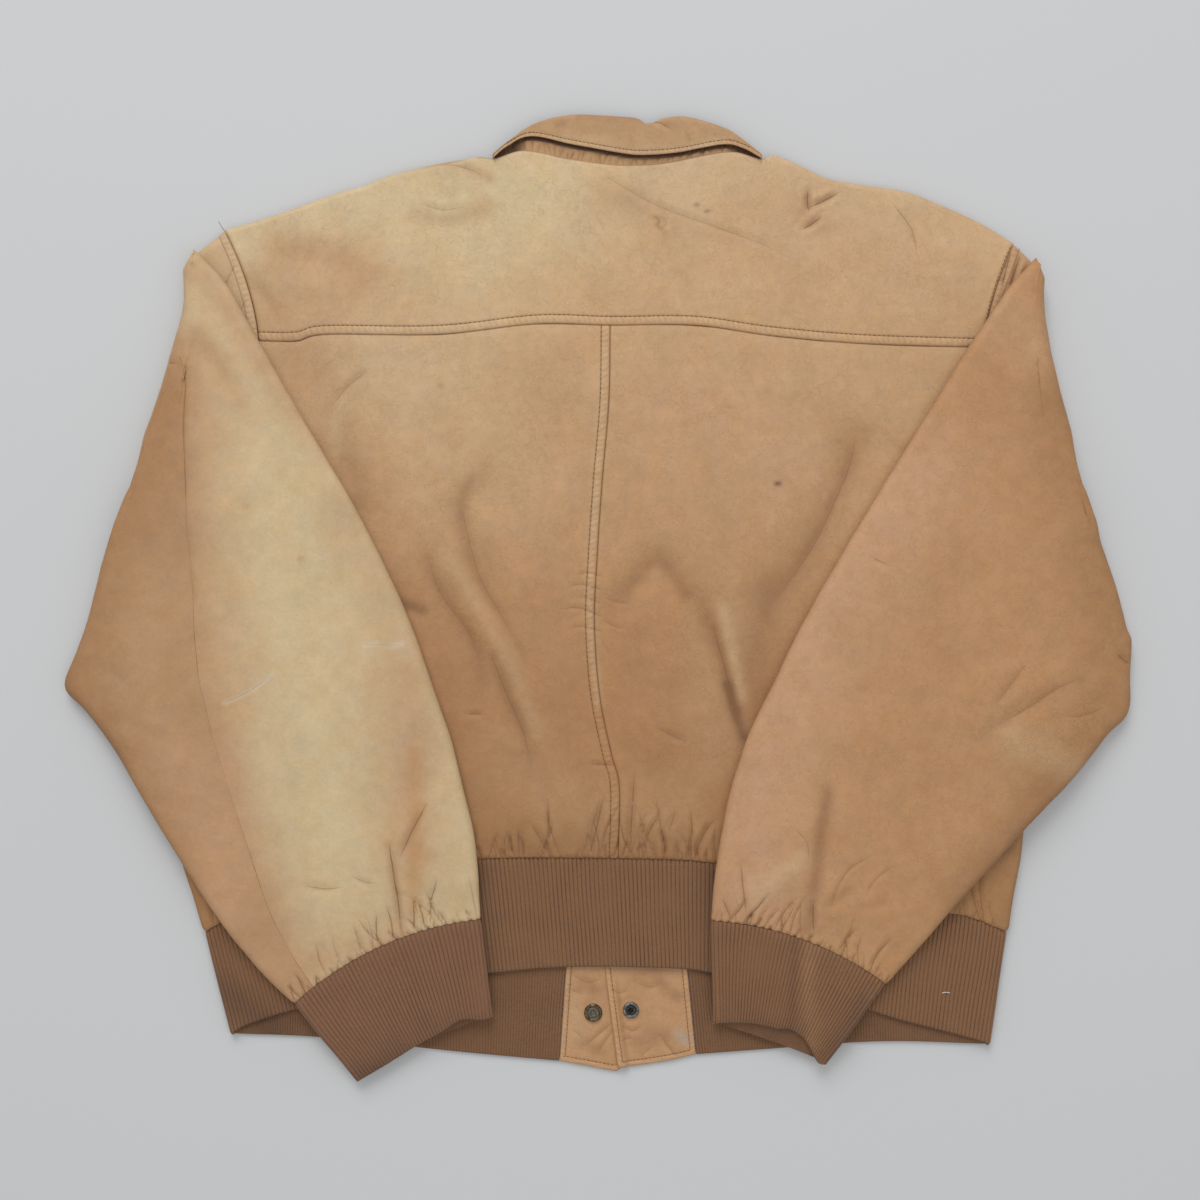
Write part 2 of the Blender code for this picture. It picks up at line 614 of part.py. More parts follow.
def make_waistband():
    """One knit band, from the left tab round the back to the right tab."""
    gap = np.array([0, -SEAM / 2, 0, 0])
    even = np.linspace(0, 1, PANEL_STEPS)
    under = {side: through(rows, even * (len(rows) - 1)) + gap
             for side, rows in WAIST_UNDER.items()}
    at = np.concatenate([from_middle(WAIST_MIDDLE, "left", even)[::-1],
                         from_middle(WAIST_MIDDLE, "right", even)[1:]])
    back = np.hstack([WAIST_CURVE(at), HEM_CURVE(at)]) + gap
    doubled_band("waistband", under, back, (0.0, WAIST), [0, 0.33, 0.67, 1], RIB, "rib")


def make_collar():
    for name, rows, levels, down, drop in (
            ("collar_leaf", LEAF, LEAF_LEVELS, [0, 0.05, 0.16, 0.55, 1], 4.0),
            ("collar_stand", STAND, STAND_LEVELS, [0, 0.5, 1], 0.0)):
        under = {side: through(rows[side], np.linspace(0, 3, 5)) for side in SIGN}
        back = through(rows["back"], np.arange(0, len(rows["back"]) - 0.9, 0.5))
        if name == "collar_stand":
            neck = YOKE_TOP(YOKE_ACROSS)
            back[:, 3] = np.interp(back[:, 2], neck[:, 0], neck[:, 1]) + NECK_GAP
        doubled_band(name, under, back, levels, down, COLLAR_WALL, "leather", drop)


# ---------------------------------------------------------------- sleeves
ARC = np.radians(np.linspace(-90, 90, 5))
FLATS = 5            # columns on the longer flat sides of a sleeve's pieces


def tube_columns(marks, counts):
    """Columns round a flattened tube, through marks with counts of even spans between them.

    Marks run from 0 to 1 over the upper skin, from the overarm to the underarm edge, and on
    to 2 under the lower one; whole marks are the rounded edges.  Each column has its share
    of the width, its angle from the lower (-90) to the upper skin, and its edge's end.
    """
    share, angle, end = [], [], []
    for start, stop, count in zip(marks, marks[1:], counts):
        upper = np.floor((start + stop) / 2) % 2 == 0
        for at in np.linspace(start, stop, count + 1):
            share.append(at % 2 if upper and at < 1 else 1 - abs(1 - at % 2))
            angle.append(ARC[-1] if upper else ARC[0])
            end.append(0.0)
        if stop != marks[-1]:
            over = stop % 2 == 0
            share += [0.0 if over else 1.0] * (len(ARC) - 2)
            angle += list(ARC[1:-1] if over else ARC[-2:0:-1])
            end += [-1.0 if over else 1.0] * (len(ARC) - 2)
    return np.array(share), np.array(angle), np.array(end)


def sleeve_columns(side, piece, seam, gap):
    """Columns of a sleeve's upper or under piece where its seam crosses the upper skin at `seam`.

    On the right the upper piece goes on round the underarm edge, and both seams are below.
    The seams that the sleeve lies on are a little wider open.
    """
    wide = 3 * gap
    if side == "right":
        if piece == "upper":
            return tube_columns([-OVER_SEAM + wide, 0, 1, 1 + UNDER_SEAM - wide], [1, FLATS, 1])
        return tube_columns([1 + UNDER_SEAM + wide, 2 - OVER_SEAM - wide], [FLATS + 3])
    if piece == "upper":
        return tube_columns([-HIDDEN_SEAM + wide, 0, seam - gap], [4, FLATS])
    return tube_columns([seam + gap, 1, 2 - HIDDEN_SEAM - wide], [4, 5])


def unit(vectors):
    return vectors / np.linalg.norm(vectors, axis=-1, keepdims=True)


def beside(way):
    """The direction to the left of another, in the floor's plane."""
    return np.stack([-way[..., 1], way[..., 0]], axis=-1)


def edges_out(side, travel):
    """Outward directions of an overarm and an underarm edge that run along `travel`."""
    return unit(beside(travel)) * SIGN[side] * np.array([[-1.0], [1.0]])


def tube_ring(ends, ways, mitres, bow, columns, half, noses, depth):
    """XY, share from end to end, and height from -half to half of one ring's columns.

    ends are the tips of the ring's overarm and underarm edges and ways their directions;
    the ring lies `depth` inside the surface, measured along mitres at its edges.
    """
    share, angle, end = columns
    nose = np.where(end < 0, noses[0], noses[1])
    width = np.linalg.norm(ends[1] - ends[0])
    along = noses[0] + share * (width - noses.sum()) + end * (nose - depth) * np.cos(angle)
    base = ends - ways * noses[:, None]
    reach = (ways * noses[:, None] - mitres * depth)[(end > 0).astype(int)]
    xy = bowed(base[0], base[1], bow, share) + np.cos(angle)[:, None] * reach
    return xy, along / width, np.sin(angle) * (half - depth)


def sleeve_ring(side, at, piece, depth):
    """Ring of a sleeve, `depth` inside its surface.

    at is 0 at the armhole, 1 to 2 round the fold at the shoulder, and from 2 on it
    counts the rows of the sleeve's table.
    """
    row = max(at - 2, 0)
    ring = Ring(*through(SLEEVE[side], [row])[0])
    ends = np.array([[ring.over_x, ring.over_y], [ring.under_x, ring.under_y]])
    bow = SIGN[side] * ring.bow
    settle = 1 - smooth(row)
    half = BODY / 2 * settle + ring.height / 2 * (1 - settle)
    noses = END_SHAPE * half * np.array([1, 1 + UNDERARM_TAPER * settle])
    across = ends[1] - ends[0]
    columns = sleeve_columns(side, piece, ring.seam, SEAM / 2 / np.hypot(*across))
    near = through(SLEEVE[side], [row - 0.1, row + 0.1])[:, :4]
    ways = edges_out(side, (near[1] - near[0]).reshape(2, 2))
    mitres = ways
    if at <= 2:
        sag = 4 * bow * unit(beside(across))
        ways = unit(np.array([-across - sag, across - sag]))
        shared = (ways * mitres).sum(axis=1, keepdims=True)
        mitres = (ways + mitres) / (1 + shared) if at == 2 else ways
    xy, share, level = tube_ring(ends, ways, mitres, bow, columns, half, noses, depth)
    if at <= 2:
        return shoulder_fold(side, at, xy, share, level, across - sag * (2 * share[:, None] - 1))
    low = support_top(xy[:, 0], xy[:, 1], side, DROOP) + LIFT
    high = support_top(xy[:, 0], xy[:, 1], side, DRAPE) + LIFT + 2 * half
    low = low * (1 - settle) + (BODY + FOLD_INSIDE) * settle
    high = np.maximum(high, low + 2 * half) * (1 - settle) + (2 * BODY + FOLD_INSIDE) * settle
    level *= (high - low) / (2 * half)
    return np.column_stack([xy, (low + high) / 2 + level])


def shoulder_fold(side, at, xy, share, level, tangent):
    """Bends a sleeve's first rings from the armhole up and over, flat onto the back."""
    turn = np.pi * np.clip(at - 1, 0, 1)
    attached = np.clip(1 - at, 0, 1)
    clear = np.array([SIGN[side] * ROOT_GAP / 2, 0])
    xy = (armhole(side, share) + clear) * attached + xy * (1 - attached)
    axis = BODY + FOLD_INSIDE / 2
    away = (BODY + FOLD_INSIDE) / 2 + level
    out = SIGN[side] * unit(beside(tangent))
    return np.column_stack([xy + (away * np.sin(turn))[:, None] * out,
                            axis - away * np.cos(turn)])


def make_sleeve(side):
    rows = len(SLEEVE[side]) - 1
    stations = np.concatenate([[0, 0.5], 1 + np.linspace(0, 1, 5), 2 + np.arange(1, rows + 1)])
    for piece, material in (("upper", "leather_faded"), ("under", "leather")):
        skins = [np.array([sleeve_ring(side, at, piece, depth) for at in stations])
                 for depth in (0.0, LEATHER)]
        wall(f"sleeve_{side}_{piece}", skins[0], skins[1], material)


def cuff_skin(side, downs, depth):
    """Rings of a flat knit cuff, from the sleeve to its hem."""
    cuff, rows = CUFFS[side], SLEEVE[side]
    columns = [column[:-1] for column in tube_columns([-0.5, 0, 1, 1.5], [3, 7, 3])]
    upper = (np.sin(columns[1]) + 1) / 2
    wrist, hem = (np.array(row[:4]).reshape(2, 2) for row in (rows[-1], cuff))
    near = through(rows, [len(rows) - 1.1, len(rows) - 1])[:, :4]
    wrist_out = edges_out(side, (near[1] - near[0]).reshape(2, 2))
    hem_out = edges_out(side, hem - wrist)
    rings = []
    for down in downs:
        ways = unit(wrist_out * (1 - down) + hem_out * down)
        half = CUFF / 2 + (rows[-1].height - CUFF) / 2 * (1 - smooth(down * 4))
        hem_bow = cuff.bow * upper + cuff.under_bow * (1 - upper)
        bow = SIGN[side] * (rows[-1].bow * (1 - down) + hem_bow * down)
        xy, share, level = tube_ring(wrist * (1 - down) + hem * down, ways, ways, bow[:, None],
                                     columns, half, END_SHAPE * half * np.ones(2), depth)
        twist = cuff.twist * smooth((share - cuff.twist_at) / 0.08) * upper * down
        low = support_top(xy[:, 0], xy[:, 1], side, DROOP) + LIFT
        rings.append(np.column_stack([xy, low + half + level + twist]))
    return np.array(rings)


def make_cuff(side):
    downs = np.linspace(0, 1, 5)
    downs[0] = CUFF_GAP / CUFF_LENGTH
    skins = [cuff_skin(side, downs, depth) for depth in (0.0, RIB)]
    wall(f"cuff_{side}", skins[0], skins[1], "rib", ring=True)


# ---------------------------------------------------------------- tabs and snaps
def turned(name, profile, centre, material):
    """A solid turned about an upright axis from (radius, height) points, bottom to top."""
    shape = bmesh.new()
    angles = np.linspace(0, 2 * np.pi, SNAP_SEGMENTS, endpoint=False)
    loops = []
    for radius, height in profile:
        if radius == 0:
            loops.append([shape.verts.new(np.array([centre.x, centre.y, height]) * MM)])
        else:
            loops.append([shape.verts.new(np.array([centre.x + radius * np.cos(angle),
                                                    centre.y + radius * np.sin(angle),
                                                    height]) * MM) for angle in angles])
    for low, high in zip(loops, loops[1:]):
        for i in range(SNAP_SEGMENTS):
            j = (i + 1) % SNAP_SEGMENTS
            corners = [low[i % len(low)], low[j % len(low)], high[j % len(high)], high[i % len(high)]]
            shape.faces.new(list(dict.fromkeys(corners)))
    return finish(name, shape, material)


def make_tab(side):
    """A leather tab with a stepped hole for its snap."""
    left_top, right_top, right_low, left_low = (np.array(corner, float) for corner in TAB[side])
    across = np.array([0, 0.07, 0.16, 0.4, 0.7, 1.0])
    down = np.linspace(0, 1, 7)[:, None]
    tucked = -SEAM + (TAB_LAP + SEAM) * smooth((down - 0.35) / 0.3) if side == "left" else 0 * down
    start = left_top + (left_low - left_top) * down
    end = right_top + (right_low - right_top) * down + np.hstack([tucked, 0 * down])
    xy = start[:, None] + (end - start)[:, None] * across[:, None]
    xy[..., 1] -= SEAM * (1 - down) + TAB_DIP[side] * down ** 4 * np.sin(np.pi * across)
    lift = np.zeros(xy.shape[:2])
    if side == "right":
        beside = 1 - smooth((across * TAB_WIDTH - TAB_LAP - 1.0) / 5.0)
        lift += (TAB_WALL + SEAM) * beside * smooth((down - 0.17) / 0.16)
    top = np.dstack([xy, TAB_WALL + lift])
    tab = wall(f"tab_{side}", top, top - np.array([0, 0, TAB_WALL]), "leather_light")
    hole = POST_RADIUS + SEAM
    recess = CAP_RADIUS + SEAM
    cutter = turned(f"snap_hole_{side}", [(0, -2), (recess, -2), (recess, CAP_HEIGHT + SEAM),
                                          (hole, CAP_HEIGHT + SEAM), (hole, 6), (0, 6)],
                    SNAP_AT[side], "tape")
    cutter.hide_render = True
    cutter.display_type = "WIRE"
    cut = tab.modifiers.new("snap hole", "BOOLEAN")
    cut.operation = "DIFFERENCE"
    cut.object = cutter


def make_snap(side):
    """A snap seen from inside: cap below the tab, post through it, ring and dish above."""
    rim = SNAP_RADIUS[side]
    top = TAB_WALL + SEAM
    profile = [(0, 0.15), (CAP_RADIUS - 0.4, 0.15), (CAP_RADIUS, 0.5), (CAP_RADIUS, CAP_HEIGHT),
               (POST_RADIUS, CAP_HEIGHT), (POST_RADIUS, top), (rim, top), (rim + 0.1, top + 0.7),
               (rim - 0.6, top + 1.4), (0.68 * rim, top + 1.3), (0.6 * rim, top + 0.6)]
    if side == "left":
        profile += [(0.34 * rim, top + 0.5), (0.28 * rim, top - 0.6), (0, top - 0.6)]
    else:
        profile += [(0.5 * rim, top + 1.5), (0.32 * rim, top + 1.5), (0.28 * rim, top - 0.4),
                    (0, top - 0.4)]
    turned(f"snap_{side}", profile, SNAP_AT[side], "brass" if side == "left" else "steel")


# ---------------------------------------------------------------- run
for thing in list(bpy.data.objects):
    bpy.data.objects.remove(thing, do_unlink=True)
materials = {name: make_material(name) for name in COLOURS}
for side in SIGN:
    make_back(side)
    make_front(side)
    make_sleeve(side)
    make_cuff(side)
    make_tab(side)
    make_snap(side)
make_yoke()
make_zip()
make_waistband()
make_collar()
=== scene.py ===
"""A worn tan leather blouson, lying flat and face down with both sleeves folded over its back.

Lengths are millimetres until a mesh is made.  +X points to the wearer's right, +Y to the
collar and +Z up.  Every panel is a thin closed wall on the same outline as its CAD piece,
with its seams, gathers and creases in the surface itself.
"""

from collections import namedtuple

import bmesh
import bpy
import numpy as np
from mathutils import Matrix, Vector


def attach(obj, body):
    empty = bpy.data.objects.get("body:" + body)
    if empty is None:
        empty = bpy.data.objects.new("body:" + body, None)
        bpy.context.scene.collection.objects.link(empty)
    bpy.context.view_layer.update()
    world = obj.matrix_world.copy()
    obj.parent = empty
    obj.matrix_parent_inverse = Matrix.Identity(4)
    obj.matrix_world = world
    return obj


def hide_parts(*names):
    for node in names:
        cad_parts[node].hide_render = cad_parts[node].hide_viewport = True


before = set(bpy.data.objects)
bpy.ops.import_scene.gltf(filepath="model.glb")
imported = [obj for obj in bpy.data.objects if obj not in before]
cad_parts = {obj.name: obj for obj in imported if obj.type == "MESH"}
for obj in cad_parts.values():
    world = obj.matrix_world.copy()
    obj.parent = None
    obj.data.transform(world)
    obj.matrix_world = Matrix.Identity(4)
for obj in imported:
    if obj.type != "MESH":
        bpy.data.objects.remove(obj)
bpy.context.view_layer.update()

MM = 0.001

# Walls and clearances
LEATHER = 3.0
RIB = 3.0
COLLAR_WALL = 2.0
TAB_WALL = 3.0
SEAM = 0.16          # between two pieces at their seam
LIFT = 0.5           # between a sleeve or cuff and what it lies on
FOLD_INSIDE = 2.0    # left open inside the shoulder's fold
ROOT_GAP = 0.4       # from the armhole's seam to the body's edge
NECK_GAP = 0.16

# Heights above the floor
BODY = 10.0
TURN = BODY / 2      # radius of the body's turned edges
WAIST = 7.6          # top of the knit band
HEM_TOP = 8.6        # top of the back where it meets the band
BLOUSE = 2.5         # how far the back puffs out above the band
BLOUSE_SPAN = 70.0
CUFF = 8.0
CUFF_LENGTH = 75.0
CUFF_GAP = 0.16
COLLAR_REST = 2.9    # of the fronts, where they lie on the collar's points
CARRY = 20.0         # how far past an edge a sleeve still lies level
DROOP = 34.0         # over which its lower skin then falls to the floor
DRAPE = 66.0         # and its upper skin

SIGN = {"left": -1.0, "right": 1.0}
BODY_HALF = 300.0
NECK_MIDDLE = 18.0
NECK_REACH = {"yoke": 122.0, "front": 102.0}
OPEN_BACK = 60.0      # half width of the back that isn't under a sleeve, near the band
END_SHAPE = 1.3       # how far a tube's edge reaches, beside half its height
UNDERARM_TAPER = 2.3  # and how much farther it does at the underarm
YOKE_HEIGHT = 130.0
BACK_HEIGHT = 470.0
FRONT_HEIGHT = 560.0
BAND_HEIGHT = 86.0
TAB_HEIGHT = 88.0
TAB_GRID = (58.0, 90.0)   # width and height that a tab's points are spread over
NECK_BLEND = 12.0         # over which a turned edge ends beside the neck

# Sizes of the surface's own detail
RIB_PITCH = 3.2      # from one rib of the knit to the next
RIB_STEPS = 6        # points across one rib
RIB_DEPTH = 0.85
INSIDE_RIBS = 1.45   # the knit's inner side has this many times as many ribs
# Inner skins are darker copies of the outer colours: painted shade inside the walls.
INSIDE_TONE = {True: 0.9, False: 0.6}   # of knit and of leather, beside the outer side's
TOPSTITCH = 6.8      # from a seam's ditch to its second row of stitches
STITCH_PITCH = 3.6
STITCH_LENGTH = 2.7
THREAD = 0.30        # radius of a stitch
STITCH_SIZES = (0.82, 1.08)   # least and greatest size of a stitch, as a share
DITCH = 0.8          # depth of a seam's ditch
# A fine crease's thin dark line is painted shade in it.
FINE = 3.0           # a crease no wider than this also has a fine dark line
PUCKER = 4.4         # from one pucker of a stitched seam to the next
FAR = 99.0           # farther than any seam's effect
NO_SEAM = (0.0, FAR)
NO_CREASE = (9.0, 0.0)
SMALL_PITCH = 3.2    # stitches round the armholes
FINE_PITCH = 3.0     # stitches on the collar and the tabs
SMOOTH_ANGLE = np.radians(50.0)
FULL_TURN = 6.2832   # of a wave, in radians

# ---- outlines
Point = namedtuple("Point", "x y")
Pair = namedtuple("Pair", "y left right")
# A sleeve's ring: its two edges, its bow, its height, and where a seam crosses its upper skin
Ring = namedtuple("Ring", "over_x over_y under_x under_y bow height seam", defaults=[0.0])
Band = namedtuple("Band", "seam_x seam_y hem_x hem_y")

SIDE = [Pair(*row) for row in [
    (40, -330, 332), (-60, -328, 330), (-140, -325, 328), (-194, -321, 324), (-228, -311, 318),
    (-255, -303, 314)]]
# Each armhole: its shoulder end, its underarm end, and how far it bows inward
ARMHOLE = {"left": ((-286, 281.5), (-330, 40), 47.0), "right": ((318, 271.5), (332, 40), 32.0)}
SHOULDER = {
    "left": [(-286, 281.5), (-243, 294.5), (-199, 310), (-183, 314.5), (-151, 326), (-95, 336)],
    "right": [
        (318, 271.5), (290, 288), (246, 307.5), (228, 312.5), (190, 318), (173, 322), (143, 336),
        (132, 337)],
}
NECK_SEAM = [
    (-95, 334.5), (-80, 335.5), (-60, 341.5), (-42, 339.5), (-25, 335.5), (12, 330.5), (46, 331.5),
    (83, 338.5), (104, 340.5), (123, 335.5), (132, 335.5)]
YOKE_ENDS = {"left": 196, "right": 191}
YOKE_SEAM = [
    (-231, 196), (-208, 201), (-122, 201), (-48, 209), (9, 208), (74, 208), (132, 200), (201, 194)]
BACK_SEAM_LOW, BACK_SEAM_HIGH = 15, 9
BACK_SEAM = [(16, -145), (10, -120), (1, -75), (-3, -20), (-1, 30), (3, 90), (8, 150)]
FRONT_NECK = {
    "left": [(-38, 272), (-72, 324)],
    "right": [(54, 268), (116, 324)],
}
FRONT_EDGE = [(7, 246), (5, 0), (3, -270)]
ZIP_WIDTH = 15.0
WAIST_UNDER = {side: [Band(*row) for row in rows] for side, rows in {
    "left": [
        (-24.4, -270, -30.4, -356), (-107, -270, -107, -349), (-205, -264, -212, -338),
        (-299, -255, -279, -335)],
    "right": [
        (67.4, -271, 75.4, -351), (125, -270, 129, -347), (215, -266, 218, -341),
        (310, -255, 297, -343)],
}.items()}
WAIST_BACK = [Band(*row) for row in [
    (-299, -255, -279, -333), (-282, -246, -268, -327), (-246, -234, -234, -316),
    (-170, -212.4, -165, -298.2), (-90, -200.4, -85, -288.2), (-19, -199.4, -25, -283.2),
    (50, -200.4, 57, -284.2), (87, -203.4, 89, -288.2), (170, -219.4, 165, -302.2),
    (240, -238, 222, -321), (281, -244, 268, -333), (310, -255, 297, -341)]]
SLEEVE = {side: [Ring(*row) for row in rows] for side, rows in {
    "left": [
        (-306, 259, -352, 86, -7, 10, 0.47), (-284, 240, -368, 56, -4, 11, 0.38),
        (-262, 203, -380, 24, 0, 12, 0.435), (-226, 141, -389, -8, 0, 12, 0.53),
        (-180, 61, -399, -38, 0, 12, 0.585), (-148, -6, -409, -68, 0, 13, 0.605),
        (-124, -72, -393, -88, 0, 13, 0.652), (-111, -108, -372, -117, 3, 13, 0.7),
        (-101, -149, -343, -165, 4, 12, 0.74), (-94, -181, -316, -206, 6, 12, 0.78),
        (-91, -210, -284, -252, 8, 11, 0.834), (-90, -229, -257, -286, 10, 10, 0.868),
        (-89, -245, -232, -310, 11, 9, 0.9)],
    "right": [
        (329, 255, 363, 88, -8, 10), (309, 233, 377, 62, -5, 11), (284, 196, 384, 44, 0, 12),
        (241, 127, 396, 10, 0, 12), (196, 52, 405, -22, 0, 12), (157, -14, 410, -38, 0, 13),
        (133, -64, 408, -84, 0, 13), (113, -104, 384, -106, 0, 13), (101, -141, 352, -141, 2, 12),
        (93, -178, 315, -186, 4, 12), (88, -210, 272, -235, 7, 11), (86, -231, 241, -271, 9, 10),
        (85, -246, 219, -295, 9, 9)],
}.items()}
HIDDEN_SEAM, OVER_SEAM, UNDER_SEAM = 0.55, 0.10, 0.10
Cuff = namedtuple("Cuff", "over_x over_y under_x under_y bow twist twist_at")
CUFFS = {"left": Cuff(-80, -320, -185, -371, 4, 0.0, 0.5),
         "right": Cuff(87, -326, 174, -357, 1, 2.5, 0.72)}
# Free edge of each cuff's upper layer; the right one ends in a fold that lies askew
CUFF_HEM = {
    "left": [
        (-80, -320), (-88, -323), (-104, -323), (-118, -332), (-137, -343), (-162, -358),
        (-185, -371)],
    "right": [
        (87, -326), (114, -326), (135, -330), (146, -331), (156, -338), (163, -349), (167, -356),
        (174, -357)],
}

# The collar's two strips: each row is a place on its fold, then one on its free edge
LEAF = {
    "left": [
        (-6, 268, -58, 206), (-42, 306, -92, 264), (-70, 332, -94, 318), (-80, 339, -79.8, 335.4)],
    "right": [
        (20, 268, 102, 206), (86, 306, 138, 264), (114, 332, 138, 318), (124, 338.5, 123.8, 335)],
    "back": [
        (-80, 339.5, -79.6, 335.8), (-69, 348.5, -69.6, 343.8), (-47, 363, -52, 351.5),
        (-18, 369, -20, 345.4), (25, 367, 20, 338.4), (38, 364.4, 38, 337.5), (64, 368, 62, 339.5),
        (95, 359.5, 95, 345.4), (110, 350.4, 110.4, 342.4), (124, 339, 123.6, 335.4)],
}
STAND = {
    "left": [
        (-9, 278, -10, 256), (-42, 308, -35, 284), (-63, 334, -65, 327), (-78, 338, -78, 335.5)],
    "right": [
        (24, 278, 24, 256), (86, 308, 58, 281), (106, 333, 108, 325), (122, 337.5, 121, 334.5)],
    "back": [
        (-78.6, 339.2, -78, 336), (-71, 346.6, -70, 338.5), (-58, 354.5, -56, 341.5),
        (-40, 360, -40, 339.5), (-18, 362, -24, 336), (22, 360, 14, 331), (62, 361, 47, 332),
        (88, 357.5, 83, 339), (101, 354.5, 97, 340.5), (112, 347.5, 110, 338.5),
        (122.8, 338.6, 121, 335)],
}
LEAF_LEVELS = (0.2, 13.0)
STAND_LEVELS = (3.2, 9.2)
FOLD_SHARE = 0.16

TAB = {
    "left": [(-24, -270), (3, -270), (15, -361), (-30, -356)],
    "right": [(3, -271), (67, -271), (75, -351), (15, -361)],
}
TAB_DIP = {"left": 4.2, "right": 1.5}
TAB_LAP = 4.0
TAB_WIDTH = 62.0
SNAP_AT = {"left": Point(-4, -319), "right": Point(25, -317)}
SNAP_RADIUS = {"left": 6.9, "right": 6.2}
SNAP_SUNK = 0.5      # how deep a snap's ring is pressed into its tab
RIM_ROWS = 8         # of a snap's profile, from its cap to the inside of its rim

# ---- creases
Crease = namedtuple("Crease", "depth width line")


def as_creases(*rows):
    """Creases from rows of a depth (a ridge is below 0), a half width and a line's points."""
    return [Crease(depth, width, line) for depth, width, *line in rows]


BACK_CREASES = as_creases(
    (2.11, 9.2, (-90, 85), (-104, 65), (-98, 40), (-86, 15), (-74, -12), (-60, -35)),
    (1.98, 10.3, (-130, 28), (-116, -12), (-101, -35), (-94, -59), (-93, -80)),
    (0.74, 4.6, (-149, -7), (-121, -15)),
    (0.9, 2, (-100, -89), (-87, -89)),
    (1.3, 8, (-83, -42), (-70, -74), (-62, -100), (-53, -114), (-50, -145)),
    (-1.2, 9, (-116, 26), (-99, 2), (-80, -30), (-66, -66)),
    (0.6, 2.6, (-104, 64), (-98, 40), (-90, 14), (-74, -14), (-57, -44)),
    (0.5, 2.6, (-130, 30), (-121, 3), (-97, -31), (-87, -66)),
    (0.9, 2.8, (-81, -46), (-69, -77), (-57, -105), (-51, -134)),
    (0.5, 1.4, (3, 16), (-8, 19), (-20, 17)),
    (0.6, 1.4, (2, 6), (-12, 10), (-27, 8)),
    (0.5, 1.4, (1, -4), (-10, 0), (-18, 0)),
    (0.7, 1.6, (1, -14), (-14, -8), (-30, -9)),
    (0.6, 1.4, (2, -26), (-12, -22), (-24, -24)),
    (0.5, 1.4, (4, 0), (16, -4), (26, -4)),
    (0.5, 1.4, (4, -18), (15, -23), (22, -24)),
    (0.6, 2.6, (-178, 172), (-192, 161), (-206, 143)),
    (0.62, 10.3, (-181, 107), (-181, 77)),
    (0.5, 9.2, (-163, 92), (-162, 72)),
    (2.36, 16.1, (200, 123), (192, 101), (181, 76), (164, 44), (154, 23), (145, 8), (127, -8),
     (119, -23), (127, -42)),
    (1.86, 10.3, (9, -18), (29, 13), (46, 27), (60, 5), (77, -7), (84, -18), (92, -42),
     (97, -71)),
    (-1.61, 14.9, (22, -32), (44, 4), (64, -18)),
    (2.11, 5.2, (97, -60), (101, -74), (106, -90), (114, -106)),
    (-1.4, 5.5, (89, -7), (100, -40), (107, -71), (112, -96)),
    (1.1, 2.2, (88, -24), (96, -52), (103, -80), (111, -106)),
    (0.7, 2.8, (196, 118), (190, 94), (168, 46), (146, 12), (126, -12)),
    (0.8, 2.4, (46, -100), (55, -105), (62, -108), (70, -111)),
    (0.9, 1.8, (-5, -127), (6, -128), (16, -127)),
    (1, 2.4, (-36, -200), (-44, -185), (-54, -169)),
    (1.1, 2.2, (-60, -199), (-61, -186), (-62, -174)),
    (1, 2, (-74, -199), (-72, -188), (-70, -179)),
    (1.4, 2.6, (-8, -200), (-2, -179), (5, -148)),
    (0.9, 1.8, (0, -199), (0, -188), (-1, -179)),
    (1.5, 2.8, (23, -198), (25, -174), (28, -127)),
    (1.0, 2.0, (31, -199), (32, -184), (37, -170)),
    (1.2, 2.2, (35, -198), (38, -181), (48, -163)),
    (0.8, 1.8, (45, -199), (43, -192), (41, -185)),
    (0.9, 2.6, (54, -177), (57, -169), (59, -161)),
    (1, 2, (70, -201), (67, -189), (63, -179)),
    (1.4, 2.4, (73, -201), (80, -182), (91, -166)),
    (0.56, 5.8, (-30, -60), (-36, -95), (-28, -130)),
    (-0.56, 8, (44, -46), (52, -82), (46, -128)),
    (0.5, 6.9, (-52, 160), (-30, 120), (-34, 88)),
    (0.43, 5.8, (88, 150), (110, 132), (140, 126)))
YOKE_CREASES = as_creases(
    (1.24, 10.3, (-240, 262), (-208, 258), (-185, 248)),
    (-0.99, 10.3, (-226, 246), (-200, 240), (-180, 230)),
    (0.62, 5.8, (-137, 292), (-113, 286), (-84, 297)),
    (0.87, 4.6, (-268, 242), (-251, 224), (-240, 204)),
    (0.81, 11.5, (1, 310), (26, 296), (51, 279)),
    (0.7, 9, (30, 306), (63, 290), (118, 271), (158, 251)),
    (0.5, 2.4, (8, 320), (46, 299), (90, 283), (130, 268), (158, 252)),
    (-0.62, 13.8, (60, 300), (120, 280), (180, 268)),
    (0.5, 1.4, (42, 291), (47, 288), (45, 284), (51, 279)),
    (0.5, 1.4, (48, 292), (52, 286), (47, 280)),
    (0.6, 3, (-130, 333), (-108, 330), (-84, 321)),
    (0.5, 2.5, (-134, 300), (-118, 296), (-99, 299)),
    (2.4, 2.6, (160, 310), (160, 301), (161, 293)),
    (2.2, 2.4, (163, 299), (172, 303), (185, 310)),
    (1.6, 2.4, (157, 282), (164, 286), (171, 292)),
    (-1.12, 6.9, (170, 296), (176, 288), (188, 284)),
    (0.8, 3, (226, 300), (240, 280), (244, 256)))
Nudge = namedtuple("Nudge", "x y dx dy reach")
